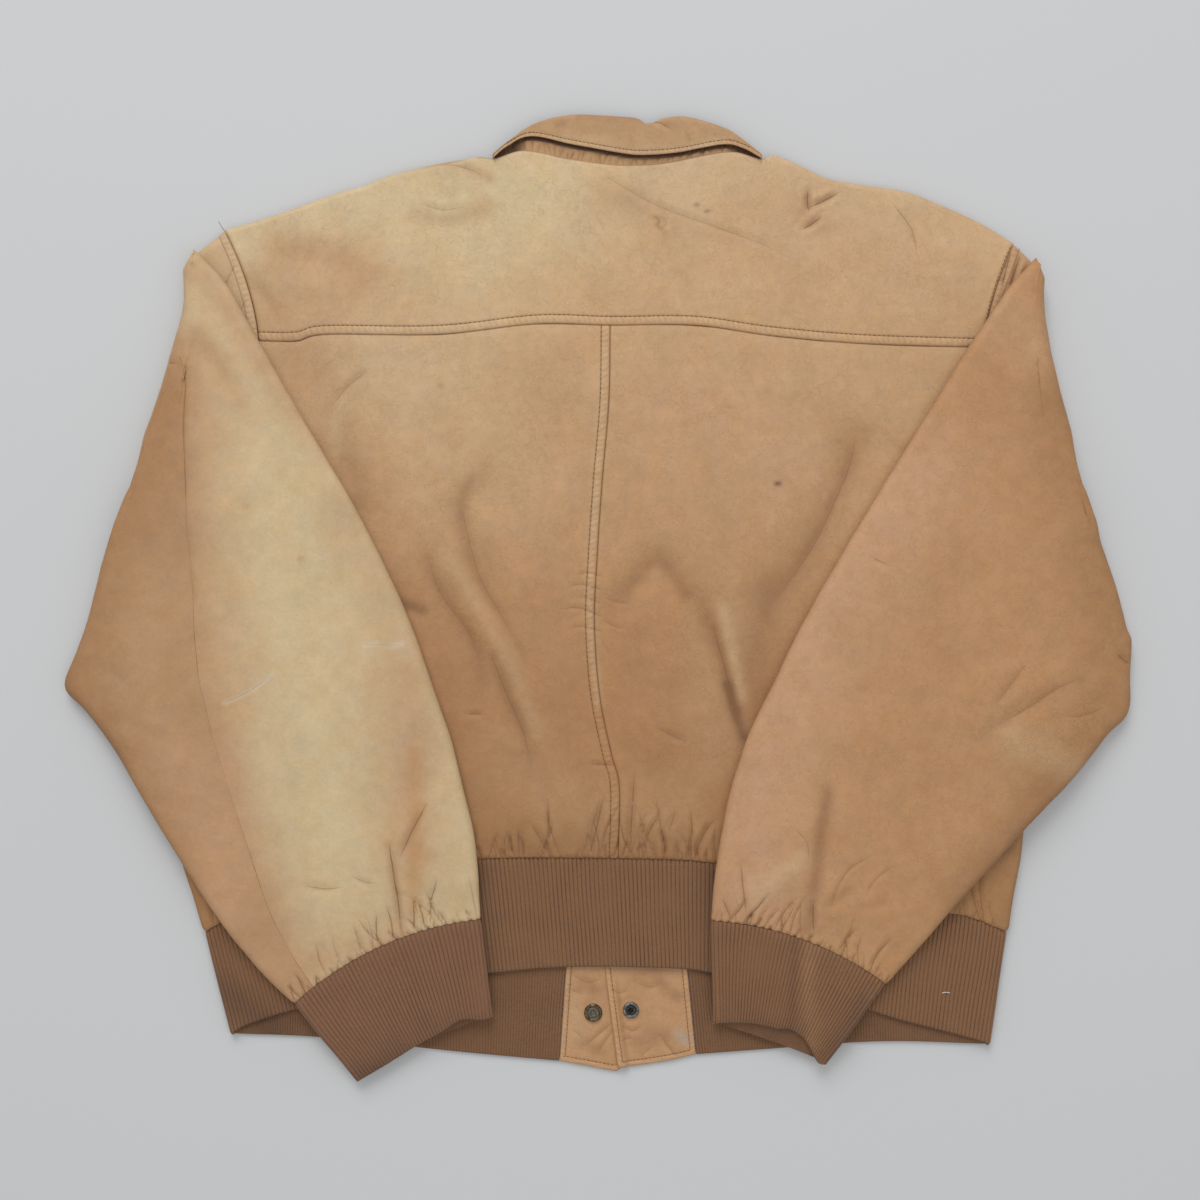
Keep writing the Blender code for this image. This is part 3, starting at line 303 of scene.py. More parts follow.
# Where the cloth of a sleeve lies a little off its even run
SLEEVE_NUDGES = {
    "left": [Nudge(-306, 260, -1, 6, 17), Nudge(-324, 222, 4.5, 0, 26), Nudge(-354, 84, -3, 0, 22),
             Nudge(-355, -150, 2.8, 2.4, 60)],
    "right": [Nudge(330, 258, 3, 3, 15), Nudge(365, 86, 4, 0, 24), Nudge(350, 160, 3.5, 0, 50),
              Nudge(408, -62, -3.5, 1.5, 24), Nudge(372, -140, 5, -4.5, 45)],
}
SLEEVE_CREASES = {
    "left": as_creases(
        (1.24, 6.9, (-303, 197), (-288, 173), (-271, 149)),
        (0.99, 11.5, (-301, -86), (-289, -118), (-281, -163), (-268, -201), (-254, -238)),
        (0.5, 1.2, (-283, -80), (-264, -71), (-246, -58)),
        (0.4, 1.2, (-177, -36), (-147, -36)),
        (1.9, 2.4, (-158, -188), (-155, -211), (-152, -231), (-150, -262)),
        (1.5, 3, (-131, -158), (-142, -179), (-152, -201)),
        (1.2, 1.8, (-140, -229), (-140, -256)),
        (1.2, 1.8, (-137, -231), (-134, -240), (-131, -256)),
        (1.1, 2.2, (-123, -216), (-127, -232), (-128, -252)),
        (0.8, 3, (-220, -219), (-206, -221), (-192, -219)),
        (0.7, 2.4, (-185, -212), (-176, -216), (-168, -216)),
        (-0.99, 10.3, (-146, -150), (-165, -205), (-168, -250)),
        (0.62, 16.1, (-230, 60), (-214, -20), (-218, -110)),
        (-0.74, 20.7, (-180, 0), (-176, -60), (-190, -130)),
        (0.8, 1.6, (-334, 182), (-325, 178), (-315, 177)),
        (0.62, 9.2, (-300, 40), (-270, 60), (-240, 100)),
        (0.74, 8, (-388, -52), (-362, -60), (-336, -84)),
        (0.56, 5.8, (-376, -92), (-352, -96), (-330, -110))),
    "right": as_creases(
        (1.12, 4.6, (321, -54), (305, -76), (294, -88)),
        (1.49, 6.9, (365, -64), (328, -80), (294, -102), (277, -110)),
        (1.4, 3, (396, -44), (401, -48), (408, -51)),
        (0.8, 2.4, (208, 30), (223, 23)),
        (1, 2, (108, -204), (110, -223), (113, -246)),
        (0.9, 1.8, (95, -231), (98, -238), (102, -247)),
        (-1.49, 10.3, (119, -228), (136, -214), (153, -198)),
        (1.86, 5.8, (174, -146), (169, -179), (166, -208), (162, -229), (157, -254)),
        (1.4, 2.2, (163, -232), (163, -243), (164, -258)),
        (0.99, 4, (172, -236), (184, -228), (196, -218)),
        (0.93, 4, (200, -236), (212, -233), (226, -227)),
        (-1.12, 10.3, (184, -150), (186, -190), (196, -212)),
        (0.62, 13.8, (262, 128), (280, 40), (262, -40)),
        (-0.62, 18.4, (320, 110), (336, 20), (330, -40)),
        (0.74, 8, (392, -74), (366, -86), (340, -92)),
        (0.7, 1.8, (362, -62), (345, -70), (326, -83), (300, -98)),
        (0.6, 1.6, (322, -52), (312, -66), (298, -84)),
        (0.5, 1.6, (384, -84), (366, -90), (350, -90)),
        (0.6, 1.6, (206, -196), (190, -206), (180, -222), (176, -240)),
        (0.5, 1.6, (150, -176), (158, -186), (160, -204)),
        (0.5, 1.4, (222, -204), (208, -216), (200, -232)),
        (0.62, 6.9, (372, -112), (344, -112), (318, -126)),
        (-0.74, 9.2, (300, -60), (262, -84), (246, -116))),
}
LEAF_CREASES = as_creases(
    (1.1, 2.2, (38, 365), (46, 363), (57, 356)),
    (0.6, 4.0, (-20, 358), (0, 354), (22, 354)),
    (0.4, 2.0, (66, 356), (70, 349), (68, 343)),
    (0.4, 2.0, (88, 354), (92, 349)))
LEAF_STITCH = 3.4    # from the leaf's edge to its stitches
TAB_STITCH = 4.2     # from a tab's edge to its stitches
TAB_CREASES = {
    "left": as_creases(
        (0.7, 2.0, (9, -328), (0, -336), (-12, -346)),
        (0.6, 1.8, (10, -334), (2, -346), (-2, -354)),
        (0.5, 2.4, (-20, -290), (-8, -296), (4, -292)),
        (0.5, 2.0, (-21, -302), (-12, -305)),
        (0.4, 1.6, (-20, -332), (-10, -340))),
    "right": as_creases(
        (0.7, 1.8, (60, -352), (52, -343), (46, -334)),
        (0.5, 2.4, (30, -296), (40, -300), (50, -294)),
        (0.6, 2.0, (20, -330), (27, -333), (34, -328)),
        (0.5, 1.8, (18, -340), (26, -338)),
        (0.4, 1.6, (33, -352), (42, -345)),
        (0.5, 2.0, (10, -300), (17, -304), (24, -300))),
}
NOTCH = Nudge(37, 364, 0, -2.2, 4.0)
CUFF_CREASES = {
    "left": [],
    "right": as_creases(
        (1.1, 3.5, (156, -262), (150, -300), (147, -332)),
        (-1.2, 6, (166, -272), (160, -305), (158, -336))),
}
ROOT_CREASES = {
    "left": as_creases(
        (0.9, 2.2, (-278, 254), (-284, 242), (-290, 228)),
        (0.9, 2.2, (-270, 226), (-276, 216), (-284, 204))),
    "right": as_creases(
        (2, 2, (315, 262), (311, 248), (308, 234)),
        (1.8, 1.8, (322, 259), (318, 247), (314, 232)),
        (1.2, 1.8, (327, 252), (323, 240), (320, 228))),
}

# ---- colours
def tone(code):
    """A colour written as it looks, as the light that a material wants."""
    value = np.array([int(code[k:k + 2], 16) for k in (1, 3, 5)]) / 255
    return np.where(value <= 0.04045, value / 12.92, ((value + 0.055) / 1.055) ** 2.4)


TONES = {name: tone(code) for name, code in {
    "cream": "#cbb690", "sand": "#c4a884", "peach": "#bf9675", "tan": "#b99370",
    "camel": "#b08a66", "saddle": "#a27851", "chestnut": "#8a6241", "umber": "#704f34",
    "bark": "#4a3020", "amber": "#b4804a", "ash": "#a8a29a", "lint": "#d9d5cc",
    "rib": "#7a5639", "rib_deep": "#50392a",
}.items()}

# Brown of seams and crackle lines, also mixed in as painted shade in valleys and fine creases.
SEAM_AND_SHADE_BROWN = tone("#7a5435")
ELBOW = (0.340, -0.098, 0.020)   # metres, middle of the right sleeve's crazed elbow
Stroke = namedtuple("Stroke", "tone strength width line")


def as_strokes(*rows):
    """Strokes from rows of a tone, a strength, a half width and a line's points."""
    return [Stroke(shade, strength, width, line) for shade, strength, width, *line in rows]


# The back's colour from the shoulders down to the waist, lighter towards the collar: partly the
# leather's own tone, partly painted light from the lamp beyond the collar
BACK_RAMP = [(340, "#c8ab86"), (250, "#c3a079"), (180, "#bd9871"), (60, "#b78f68"),
             (0, "#b0865e"), (-80, "#a97d55"), (-200, "#a0764d")]
BACK_STROKES = as_strokes(
    ("cream", 0.85, 52, (-270, 282), (-200, 302), (-110, 308), (-50, 306)),
    ("cream", 0.55, 42, (-120, 266), (-90, 250)),
    ("sand", 0.75, 40, (-170, 178), (-118, 180)),
    ("sand", 0.35, 60, (-150, 150), (-90, 100)),
    # Orange-brown along the yoke's folds, deepened in their troughs as painted shade.
    ("tan", 0.85, 20, (-238, 262), (-208, 257), (-182, 246)),
    ("tan", 0.6, 22, (-240, 226), (-205, 218)),
    ("camel", 0.5, 12, (-268, 242), (-251, 224), (-240, 204)),
    # Painted shadow on the back beside the left sleeve's inner edge.
    ("camel", 0.6, 18, (-236, 184), (-206, 160), (-200, 130)),
    # Painted shade in the yoke's creases, with a painted highlight (sand) on a ridge.
    ("saddle", 0.28, 8, (-140, 293), (-116, 288), (-86, 298)),
    ("camel", 0.3, 14, (1, 310), (26, 296), (51, 279)),
    ("camel", 0.32, 10, (20, 306), (58, 288), (112, 268), (158, 246)),
    ("sand", 0.35, 7, (14, 324), (60, 302), (112, 282), (150, 268)),
    ("camel", 0.6, 12, (156, 300), (164, 290)),
    # Painted shadow on the back beside the left sleeve's inner edge.
    ("saddle", 0.3, 20, (-200, 110), (-186, 96), (-180, 70)),
    ("chestnut", 0.22, 7, (-192, 106), (-182, 90), (-180, 70)),
    ("sand", 0.4, 7, (-195, 152), (-202, 134), (-201, 114)),
    # Painted shade in the back's creases and fold valleys, with painted highlights (sand) on the
    # ridges between them.
    ("saddle", 0.2, 4, (-180, 172), (-198, 156), (-206, 143)),
    ("saddle", 0.35, 10, (-88, 100), (-100, 84), (-106, 64), (-94, 15), (-70, -20)),
    ("chestnut", 0.28, 4, (-98, 92), (-106, 64), (-96, 22), (-75, -13), (-57, -44)),
    ("saddle", 0.45, 16, (-150, 10), (-128, -16), (-108, -50), (-98, -90)),
    ("chestnut", 0.35, 6, (-131, 30), (-121, 3), (-97, -31), (-87, -66)),
    ("umber", 0.45, 5, (-160, -1), (-149, -4), (-136, -10)),
    ("chestnut", 0.45, 6, (-81, -46), (-69, -77), (-57, -105), (-51, -134)),
    ("sand", 0.25, 7, (-112, 28), (-94, -2), (-76, -36)),
    ("sand", 0.25, 6, (-70, -44), (-58, -72), (-46, -104)),
    ("saddle", 0.5, 15, (198, 123), (190, 96), (167, 44), (143, 9), (124, -14)),
    ("chestnut", 0.35, 6, (194, 112), (184, 84), (160, 38), (140, 8), (122, -18)),
    # Painted shadow on the back beside the right sleeve's inner edge.
    ("chestnut", 0.4, 14, (127, 9), (120, -30), (118, -69)),
    ("camel", 0.55, 26, (100, -20), (84, -60), (92, -110)),
    # Painted shade in the arch fold and its deep crease, painted highlight (sand) on its ridge.
    ("saddle", 0.55, 9, (10, -12), (26, 12), (46, 30), (64, 9), (80, -10), (92, -40)),
    ("chestnut", 0.3, 5, (20, 4), (46, 28), (66, 4)),
    ("chestnut", 0.5, 7, (84, -16), (94, -46), (102, -76), (110, -105)),
    ("umber", 0.6, 3.5, (98, -66), (103, -82), (111, -107)),
    ("sand", 0.4, 5, (95, -8), (103, -42), (110, -76)),
    ("saddle", 0.3, 22, (20, -30), (46, -60), (40, -110)),
    ("camel", 0.4, 30, (-60, -120), (-36, -150), (0, -170), (60, -160)),
    ("peach", 0.35, 40, (120, 290), (200, 270), (250, 240)),
    ("peach", 0.5, 30, (60, 150), (120, 120), (150, 90)),
    ("chestnut", 0.35, 16, (-90, -196), (-20, -197), (90, -198)),
    ("bark", 0.75, 2.0, (136, 87), (138, 87)),
    ("saddle", 0.5, 2.4, (183, 119), (184, 119)),
    ("saddle", 0.5, 2.2, (-121, 162), (-120, 162)),
    ("umber", 0.6, 1.4, (74, 300), (76, 300)),
    ("umber", 0.6, 1.4, (82, 295), (84, 295)),
    # Painted shade in two yoke creases.
    ("saddle", 0.5, 1.8, (42, 291), (47, 288), (45, 284), (51, 279)),
    ("camel", 0.5, 5, (-130, 333), (-108, 330), (-84, 321)),
    ("sand", 0.4, 4, (4, 190), (-1, 90), (-7, 0), (0, -80)))
SLEEVE_STROKES = {
    "left_upper": as_strokes(
        ("cream", 0.7, 34, (-290, 226), (-262, 110), (-238, 10), (-222, -100), (-196, -190)),
        ("tan", 0.75, 44, (-316, 158), (-319, 60), (-311, -6), (-300, -70)),
        ("camel", 1.0, 20, (-318, 182), (-319, 107), (-320, 60), (-318, 20), (-316, -20),
         (-304, -90), (-296, -130)),
        # Painted shade in a soft valley down the lower sleeve.
        ("tan", 0.8, 26, (-296, -105), (-278, -167), (-254, -238), (-240, -280)),
        ("camel", 0.8, 12, (-300, -100), (-283, -168), (-256, -238), (-236, -290)),
        ("camel", 0.5, 14, (-332, 214), (-326, 196)),
        ("chestnut", 0.3, 4, (-313, 172), (-315, 110), (-314, 50), (-308, 0)),
        ("tan", 0.7, 16, (-303, 250), (-243, 168), (-178, 92), (-158, 56), (-136, 14),
         (-121, -40)),
        # Painted shade in a crease.
        ("camel", 0.5, 10, (-303, 197), (-288, 173), (-271, 149)),
        ("camel", 0.3, 16, (-200, 70), (-176, 30), (-160, -20)),
        ("tan", 0.75, 24, (-150, -60), (-140, -110), (-146, -150), (-142, -190)),
        ("amber", 0.45, 7, (-139, -120), (-139, -175), (-140, -236)),
        # Painted shade in a crease.
        ("camel", 0.45, 6, (-158, -188), (-155, -211), (-151, -258)),
        ("peach", 0.5, 16, (-290, -130), (-284, -160)),
        ("tan", 0.5, 16, (-236, -286), (-200, -272), (-150, -258)),
        ("lint", 0.3, 1.4, (-283, -80), (-264, -71), (-246, -58)),
        ("lint", 0.3, 1.4, (-177, -36), (-147, -36)),
        ("saddle", 0.4, 2.4, (-268, 69), (-266, 69)),
        ("saddle", 0.4, 2.4, (-226, 29), (-224, 29))),
    "left_under": as_strokes(
        ("sand", 0.6, 16, (-336, 222), (-320, 214)),
        ("tan", 0.4, 16, (-290, -120), (-270, -180), (-240, -260)),
        ("saddle", 0.85, 30, (-330, 150), (-352, 86), (-384, 24), (-402, -38), (-412, -68),
         (-376, -117), (-347, -165), (-316, -210)),
        ("chestnut", 0.5, 14, (-412, -62), (-396, -92), (-370, -122)),
        ("peach", 0.5, 22, (-318, -120), (-300, -170), (-280, -230))),
    "right_upper": as_strokes(
        ("peach", 0.8, 44, (240, 90), (180, 10), (150, -60), (122, -150), (120, -220)),
        ("saddle", 0.8, 34, (352, 150), (376, 60), (398, -20), (408, -60), (386, -108),
         (350, -146)),
        ("chestnut", 0.55, 20, (352, -140), (318, -182), (276, -234)),
        # Painted shade in the creases, painted highlights (sand) on the ridges beside them.
        ("chestnut", 0.45, 5, (174, -148), (169, -179), (166, -208), (158, -252)),
        ("saddle", 0.4, 9, (365, -64), (328, -80), (294, -102)),
        ("sand", 0.3, 14, (310, -106), (346, -124), (372, -138)),
        ("sand", 0.35, 8, (119, -228), (153, -198)),
        ("saddle", 0.5, 2.2, (319, 141), (321, 141)),
        ("tan", 0.5, 20, (300, 222), (330, 190))),
    "right_under": [],
}
LEAF_STROKES = as_strokes(
    ("chestnut", 0.35, 2.6, (-31, 360), (-27, 361)),
    ("chestnut", 0.35, 3.2, (-14, 367), (10, 366), (27, 365), (40, 363)),
    ("sand", 0.45, 5, (-60, 348), (-20, 347), (20, 340), (60, 341), (95, 347)))
# Dark strokes on the band beside the sleeves' edges: painted shadows of the sleeves.
BAND_STROKES = as_strokes(
    ("rib_deep", 0.5, 14, (-290, -300), (-250, -330)),
    ("rib_deep", 0.6, 14, (92, -210), (98, -290)),
    ("rib_deep", 0.4, 10, (-92, -212), (-88, -286)))
# On the right cuff, the rib_deep stroke along its crease is painted shade and the saddle one along
# its ridge a painted highlight.
CUFF_STROKES = as_strokes(   # of both cuffs
    ("rib_deep", 0.5, 10, (-180, -366), (-150, -350)),
    ("rib_deep", 0.2, 4, (150, -250), (148, -296), (147, -330)),
    ("saddle", 0.3, 7, (160, -268), (160, -306), (164, -340)),
    ("rib_deep", 0.4, 9, (200, -310), (178, -350)))
TAB_STROKES = as_strokes(
    ("chestnut", 0.35, 6, (-12, -296), (-2, -302)),
    ("chestnut", 0.4, 5, (48, -296), (60, -306)),
    ("chestnut", 0.35, 7, (30, -342), (50, -336)),
    ("chestnut", 0.35, 5, (-14, -340), (2, -348)),
    ("chestnut", 0.3, 9, (30, -290), (44, -288)),
    ("sand", 0.3, 8, (-18, -310), (-16, -336)),
    ("ash", 0.5, 4.5, (62, -336), (67, -341)))


# ---- curves
def smooth(value):
    """0 below 0, 1 above 1, an even S between them."""
    t = np.clip(value, 0.0, 1.0)
    return t * t * (3.0 - 2.0 * t)


def through(rows, at):
    """Catmull-Rom curve through the rows of a table, at row positions `at`."""
    table = np.array(rows, dtype=float)
    padded = np.vstack([2 * table[0] - table[1], table, 2 * table[-1] - table[-2]])
    at = np.clip(np.asarray(at, dtype=float), 0, len(table) - 1)
    row = np.minimum(at.astype(int), len(table) - 2)
    t = (at - row)[:, None]
    before, start, end, after = (padded[row + k] for k in range(4))
    return 0.5 * (2 * start + (end - before) * t
                  + (2 * before - 5 * start + 4 * end - after) * t ** 2
                  + (3 * start - before - 3 * end + after) * t ** 3)


def even(rows, count):
    """`count` points of the curve through rows, evenly from the first row to the last."""
    return through(rows, np.linspace(0, len(rows) - 1, count))


def travelled(points):
    """Distance along a row of points, at each of them."""
    return np.concatenate([[0], np.cumsum(np.linalg.norm(np.diff(points, axis=0), axis=1))])


def path(rows):
    """A function that gives points on the curve through rows, 0..1 by its length."""
    points = even(rows, 24 * (len(rows) - 1) + 1)
    reached = travelled(points)

    def at(share):
        distance = np.asarray(share, dtype=float) * reached[-1]
        return np.stack([np.interp(distance, reached, points[:, k]) for k in (0, 1)], axis=-1)

    return at


def bowed(start, end, bow, share):
    """Points on a line that bows sideways, to its left, by `bow` at its middle."""
    start = np.array(start, dtype=float)
    along = np.array(end, dtype=float) - start
    left = np.array([-along[1], along[0]]) / np.linalg.norm(along)
    share = np.asarray(share, dtype=float)[..., None]
    return start + along * share + left * bow * 4 * share * (1 - share)


def armhole(side, share):
    """The armhole's seam, from the shoulder (0) to the underarm (1)."""
    start, end, bow = ARMHOLE[side]
    return bowed(start, end, bow if side == "left" else -bow, share)


def armhole_x(side, y):
    """How far across the armhole's seam is at a height."""
    hole = armhole(side, np.linspace(0, 1, 300))[::-1]
    return np.interp(y, hole[:, 1], hole[:, 0])


def share_at(curve, axis, value):
    """Share of a curve at which its x (axis 0) or y (axis 1) reaches a value."""
    steps = np.linspace(0, 1, 2001)
    reached = curve(steps)[:, axis]
    order = np.argsort(reached)
    return np.interp(value, reached[order], steps[order])


def graded(length, step, start=None, end=None, hold=0.0):
    """Shares of a length, `step` apart, that close up to `start` and `end` at its ends.

    They stay close for `hold` from each such end.
    """
    places = [0.0]
    while places[-1] < length:
        here = places[-1]
        gap = step
        if start:
            gap = min(gap, start + 0.12 * max(here - hold, 0))
        if end:
            gap = min(gap, end + 0.12 * max(length - here - hold, 0))
        places.append(here + gap)
    return np.array(places) / places[-1]


YOKE_AT = {side: share_at(lambda share, side=side: armhole(side, share), 1, YOKE_ENDS[side])
           for side in SIGN}
WAIST_CURVE = path([(row.seam_x, row.seam_y) for row in WAIST_BACK])
HEM_CURVE = path([(row.hem_x, row.hem_y) for row in WAIST_BACK])
YOKE_CURVE = path([armhole("left", YOKE_AT["left"]) + [ROOT_GAP, 0]] + YOKE_SEAM
                  + [armhole("right", YOKE_AT["right"]) - [ROOT_GAP, 0]])
WAIST_MIDDLE = share_at(WAIST_CURVE, 0, BACK_SEAM_LOW)
YOKE_MIDDLE = share_at(YOKE_CURVE, 0, BACK_SEAM_HIGH)
BACK_CURVE = path([WAIST_CURVE(WAIST_MIDDLE)] + BACK_SEAM + [YOKE_CURVE(YOKE_MIDDLE)])
YOKE_TOP = path(SHOULDER["left"] + NECK_SEAM[1:-1] + SHOULDER["right"][::-1])


# ---- soft shapes
def along_line(x, y, line):
    """Distance from a line, below 0 on its right, and the share of it that is nearest."""
    points = even(line, 3 * (len(line) - 1) + 1) if len(line) > 2 else np.array(line, dtype=float)
    reached = travelled(points)
    best, share = np.full(x.shape, np.inf), np.zeros(x.shape)
    for start, end, before, after in zip(points, points[1:], reached, reached[1:]):
        run = end - start
        dx, dy = x - start[0], y - start[1]
        t = np.clip((dx * run[0] + dy * run[1]) / (run @ run), 0, 1)
        away = np.hypot(dx - t * run[0], dy - t * run[1])
        nearer = away < np.abs(best)
        best[nearer] = (away * np.where(run[0] * dy > run[1] * dx, 1.0, -1.0))[nearer]
        share[nearer] = ((before + (after - before) * t) / reached[-1])[nearer]
    return best, share


def near(x, y, line, reach):
    """Which points are in a line's box, grown by `reach`."""
    low, high = np.min(line, axis=0) - reach, np.max(line, axis=0) + reach
    return (x > low[0]) & (x < high[0]) & (y > low[1]) & (y < high[1])


def creased(x, y, creases):
    """Height of soft troughs and ridges, with shoulders beside them and tapered ends."""
    total = np.zeros(x.shape)
    for crease in creases:
        inside = near(x, y, crease.line, 3.5 * crease.width)
        away, share = along_line(x[inside], y[inside], crease.line)
        taper = (0.4 + 0.6 * smooth(share / 0.25)) * smooth((1 - share) / 0.4)
        trough = np.exp(-(away / crease.width) ** 2)
        shoulder = 0.3 * np.exp(-((np.abs(away) - 2.0 * crease.width) / crease.width) ** 2)
        total[inside] += crease.depth * taper * (shoulder - trough)
    return total


def crease_lines(x, y, creases):
    """Distance from the nearest fine crease, below 0 on its right, and how strongly its line of
    painted shade shows.
    """
    offset, shown = np.full(x.shape, 9.0), np.zeros(x.shape)
    for crease in creases:
        if crease.width > FINE or crease.depth < 0:
            continue
        inside = near(x, y, crease.line, 4.0)
        away, share = along_line(x[inside], y[inside], crease.line)
        depth = min(crease.depth / 1.3, 1.0) * np.minimum(1, 0.5 + 4 * share)
        depth = depth * np.minimum(1, 3 * (1 - share)) * (1 - smooth(np.abs(away) / 3.0))
        closer = np.abs(away) < np.abs(offset[inside])
        offset[inside] = np.where(closer, away, offset[inside])
        shown[inside] = np.where(closer, depth, shown[inside])
    return offset, shown


def gathers(line, up, depth, seed, pitch, reach=24.0):
    """Fine creases that run unevenly up from a gathered seam along a line of points."""
    picks = np.random.default_rng(seed)
    reached, side = travelled(line), np.array([-up[1], up[0]])
    made, at = [], picks.uniform(0, pitch)
    while at < reached[-1]:
        start = np.array([np.interp(at, reached, line[:, k]) for k in (0, 1)])
        long = 6 + (reach - 6) * picks.uniform() ** 1.8
        lean, bend = picks.uniform(-0.4, 0.4), picks.uniform(-0.09, 0.09)
        middle = start + 0.5 * long * up + long * (0.5 * lean + bend) * side
        made.append(Crease(depth * picks.uniform(0.35, 1.0), picks.uniform(1.2, 2.0),
                           [start, middle, start + long * up + long * lean * side]))
        at += pitch * picks.uniform(0.5, 1.5)
    return made


def nudged(xy, nudges):
    """Points moved by soft pushes, each falling off over its reach."""
    for nudge in nudges:
        from_it = (xy - np.array([nudge.x, nudge.y])) / nudge.reach
        pull = np.exp(-(from_it ** 2).sum(axis=-1, keepdims=True))
        xy = xy + pull * np.array([nudge.dx, nudge.dy])
    return xy


def blurred(values, reach):
    """A grid's values, each averaged over `reach` points either way."""
    count = 2 * reach + 1
    for axis in (0, 1):
        wide = [(reach + 1, reach) if k == axis else (0, 0) for k in (0, 1)]
        total = np.cumsum(np.pad(values, wide, mode="edge"), axis=axis)
        last = total.shape[axis]
        values = (np.take(total, range(count, last), axis=axis)
                  - np.take(total, range(last - count), axis=axis)) / count
    return values


def painted(x, y, base, strokes):
    """Colours of a surface: its base, then soft strokes of other tones over it."""
    colour = np.broadcast_to(base, x.shape + (3,)).copy()
    for stroke in strokes:
        inside = near(x, y, stroke.line, 2.4 * stroke.width)
        away, _ = along_line(x[inside], y[inside], stroke.line)
        mix = (stroke.strength * np.exp(-(away / stroke.width) ** 2))[:, None]
        colour[inside] = colour[inside] * (1 - mix) + TONES[stroke.tone] * mix
    return colour


def rumple(x, y, size, seed):
    """An uneven soft surface, about -1..1, whose swells are about `size` across."""
    picks = np.random.default_rng(seed)
    total = np.zeros(x.shape)
    for _ in range(9):
        angle, length = picks.uniform(0, np.pi), size * picks.uniform(1.3, 3.0)
        across = (x * np.cos(angle) + y * np.sin(angle)) * 2 * np.pi / length
        bend = 0.9 * np.sin((x * np.sin(angle) - y * np.cos(angle)) * np.pi / length
                            + picks.uniform(0, 6))
        total += np.sin(across + bend + picks.uniform(0, 6))
    return total / 5


def seam_ditch(away):
    """A panel's edge turning down into its seam."""
    return -DITCH * np.exp(-(np.abs(away) / 1.1) ** 1.5)


def stitched_edge(away, along, seed):
    """Band between a seam's ditch and its second stitches: puffed, and puckered by them."""
    drift = 2.2 * rumple(along, 0 * along, 30, seed)
    slant = np.sin(2 * np.pi * (along / 8.0 + 0.04 * away) + drift)
    inside = np.clip(away / TOPSTITCH, 0, 1)
    band = np.sin(np.pi * inside) ** 0.7 * (0.40 + 0.16 * slant)
    groove = -0.45 * np.exp(-((away - TOPSTITCH) / 0.9) ** 2)
    beyond = 0.10 * slant * np.exp(-((away - TOPSTITCH - 2.5) / 2.2) ** 2)
    return seam_ditch(away) + (band + groove + beyond) * (away > 0)


# ---- heights
def waist_seam_y(x):
    """How far down the leather of the back reaches at x."""
    return np.interp(x, [row.seam_x for row in WAIST_BACK], [row.seam_y for row in WAIST_BACK])


def back_height(x, y):
    """Top of the back panels and yoke, before their creases."""
    above = y - waist_seam_y(x)
    settle = (BODY - HEM_TOP) * (1 - smooth(above / (0.5 * BLOUSE_SPAN)))
    puff = BLOUSE * np.sin(np.pi * np.clip(above / BLOUSE_SPAN, 0, 1)) ** 2
    puff *= 1 - smooth((np.abs(x) - OPEN_BACK) / 30)
    return BODY - settle + puff


def front_bottom(x, y):
    """Underside of the fronts: the floor, or the collar's points near the neck."""
    points = np.hypot(np.abs(x - 22.0) - 62.0, (y - 272.0) / 1.25)
    middle = np.hypot((x - 10.0) / 1.2, (y - 270.0) / 0.9)
    return COLLAR_REST * (1 - smooth((np.minimum(points, middle) - 68.0) / 50.0))


def side_x(row, side):
    """How far across a side seam is in a row of its table."""
    return row.left if side == "left" else row.right


def support_side(y, side):
    """Edge of what carries a sleeve: its own folded root above, the body below."""
    first, last = SLEEVE[side][0], SIDE[0]
    outward = SIGN[side]
    heights = [row.y for row in reversed(SIDE)]
    xs = [side_x(row, side) for row in reversed(SIDE)]
    heights += [first.under_y - 14, first.over_y]
    xs += [first.under_x + outward * 8, first.over_x + outward * 12]
    xs[len(SIDE) - 1] = side_x(last, side) + outward * 4
    return np.interp(y, heights, xs)


def support_top(x, y, side, reach):
    """What a sleeve or cuff lies on, falling to the floor over `reach` past each edge."""
    past_side = SIGN[side] * (x - support_side(y, side)) - CARRY
    back_hem = np.interp(x, [row.hem_x for row in WAIST_BACK], [row.hem_y for row in WAIST_BACK])
    under = WAIST_UNDER[side][::int(SIGN[side])]
    front_hem = np.interp(x, [row.hem_x for row in under], [row.hem_y for row in under])
    onto_band = smooth((waist_seam_y(x) - y) / 40.0)
    top = BODY * (1 - onto_band) + WAIST * onto_band
    upper = (top - RIB) * (1 - smooth((back_hem - y - CARRY) / reach))
    lower = RIB * (1 - smooth((front_hem - y - CARRY) / reach))
    return (upper + lower) * (1 - smooth(past_side / reach))


# ---- meshes
def unit(vectors):
    """The same directions, one long."""
    return vectors / np.linalg.norm(vectors, axis=-1, keepdims=True)


def outward(outer, inner):
    """Outward normals of a wall's outer skin."""
    normals = np.cross(np.gradient(outer, axis=0), np.gradient(outer, axis=1))
    normals = normals / np.maximum(np.linalg.norm(normals, axis=-1, keepdims=True), 1e-9)
    facing = ((outer - inner) * normals).sum(axis=-1, keepdims=True)
    return normals * np.where(facing < 0, -1.0, 1.0)


def store(mesh, name, kind, values, field):
    """Keeps one value at each of a mesh's points."""
    attribute = mesh.attributes.new(name, kind, "POINT")
    attribute.data.foreach_set(field, np.ascontiguousarray(values, np.float32).ravel())


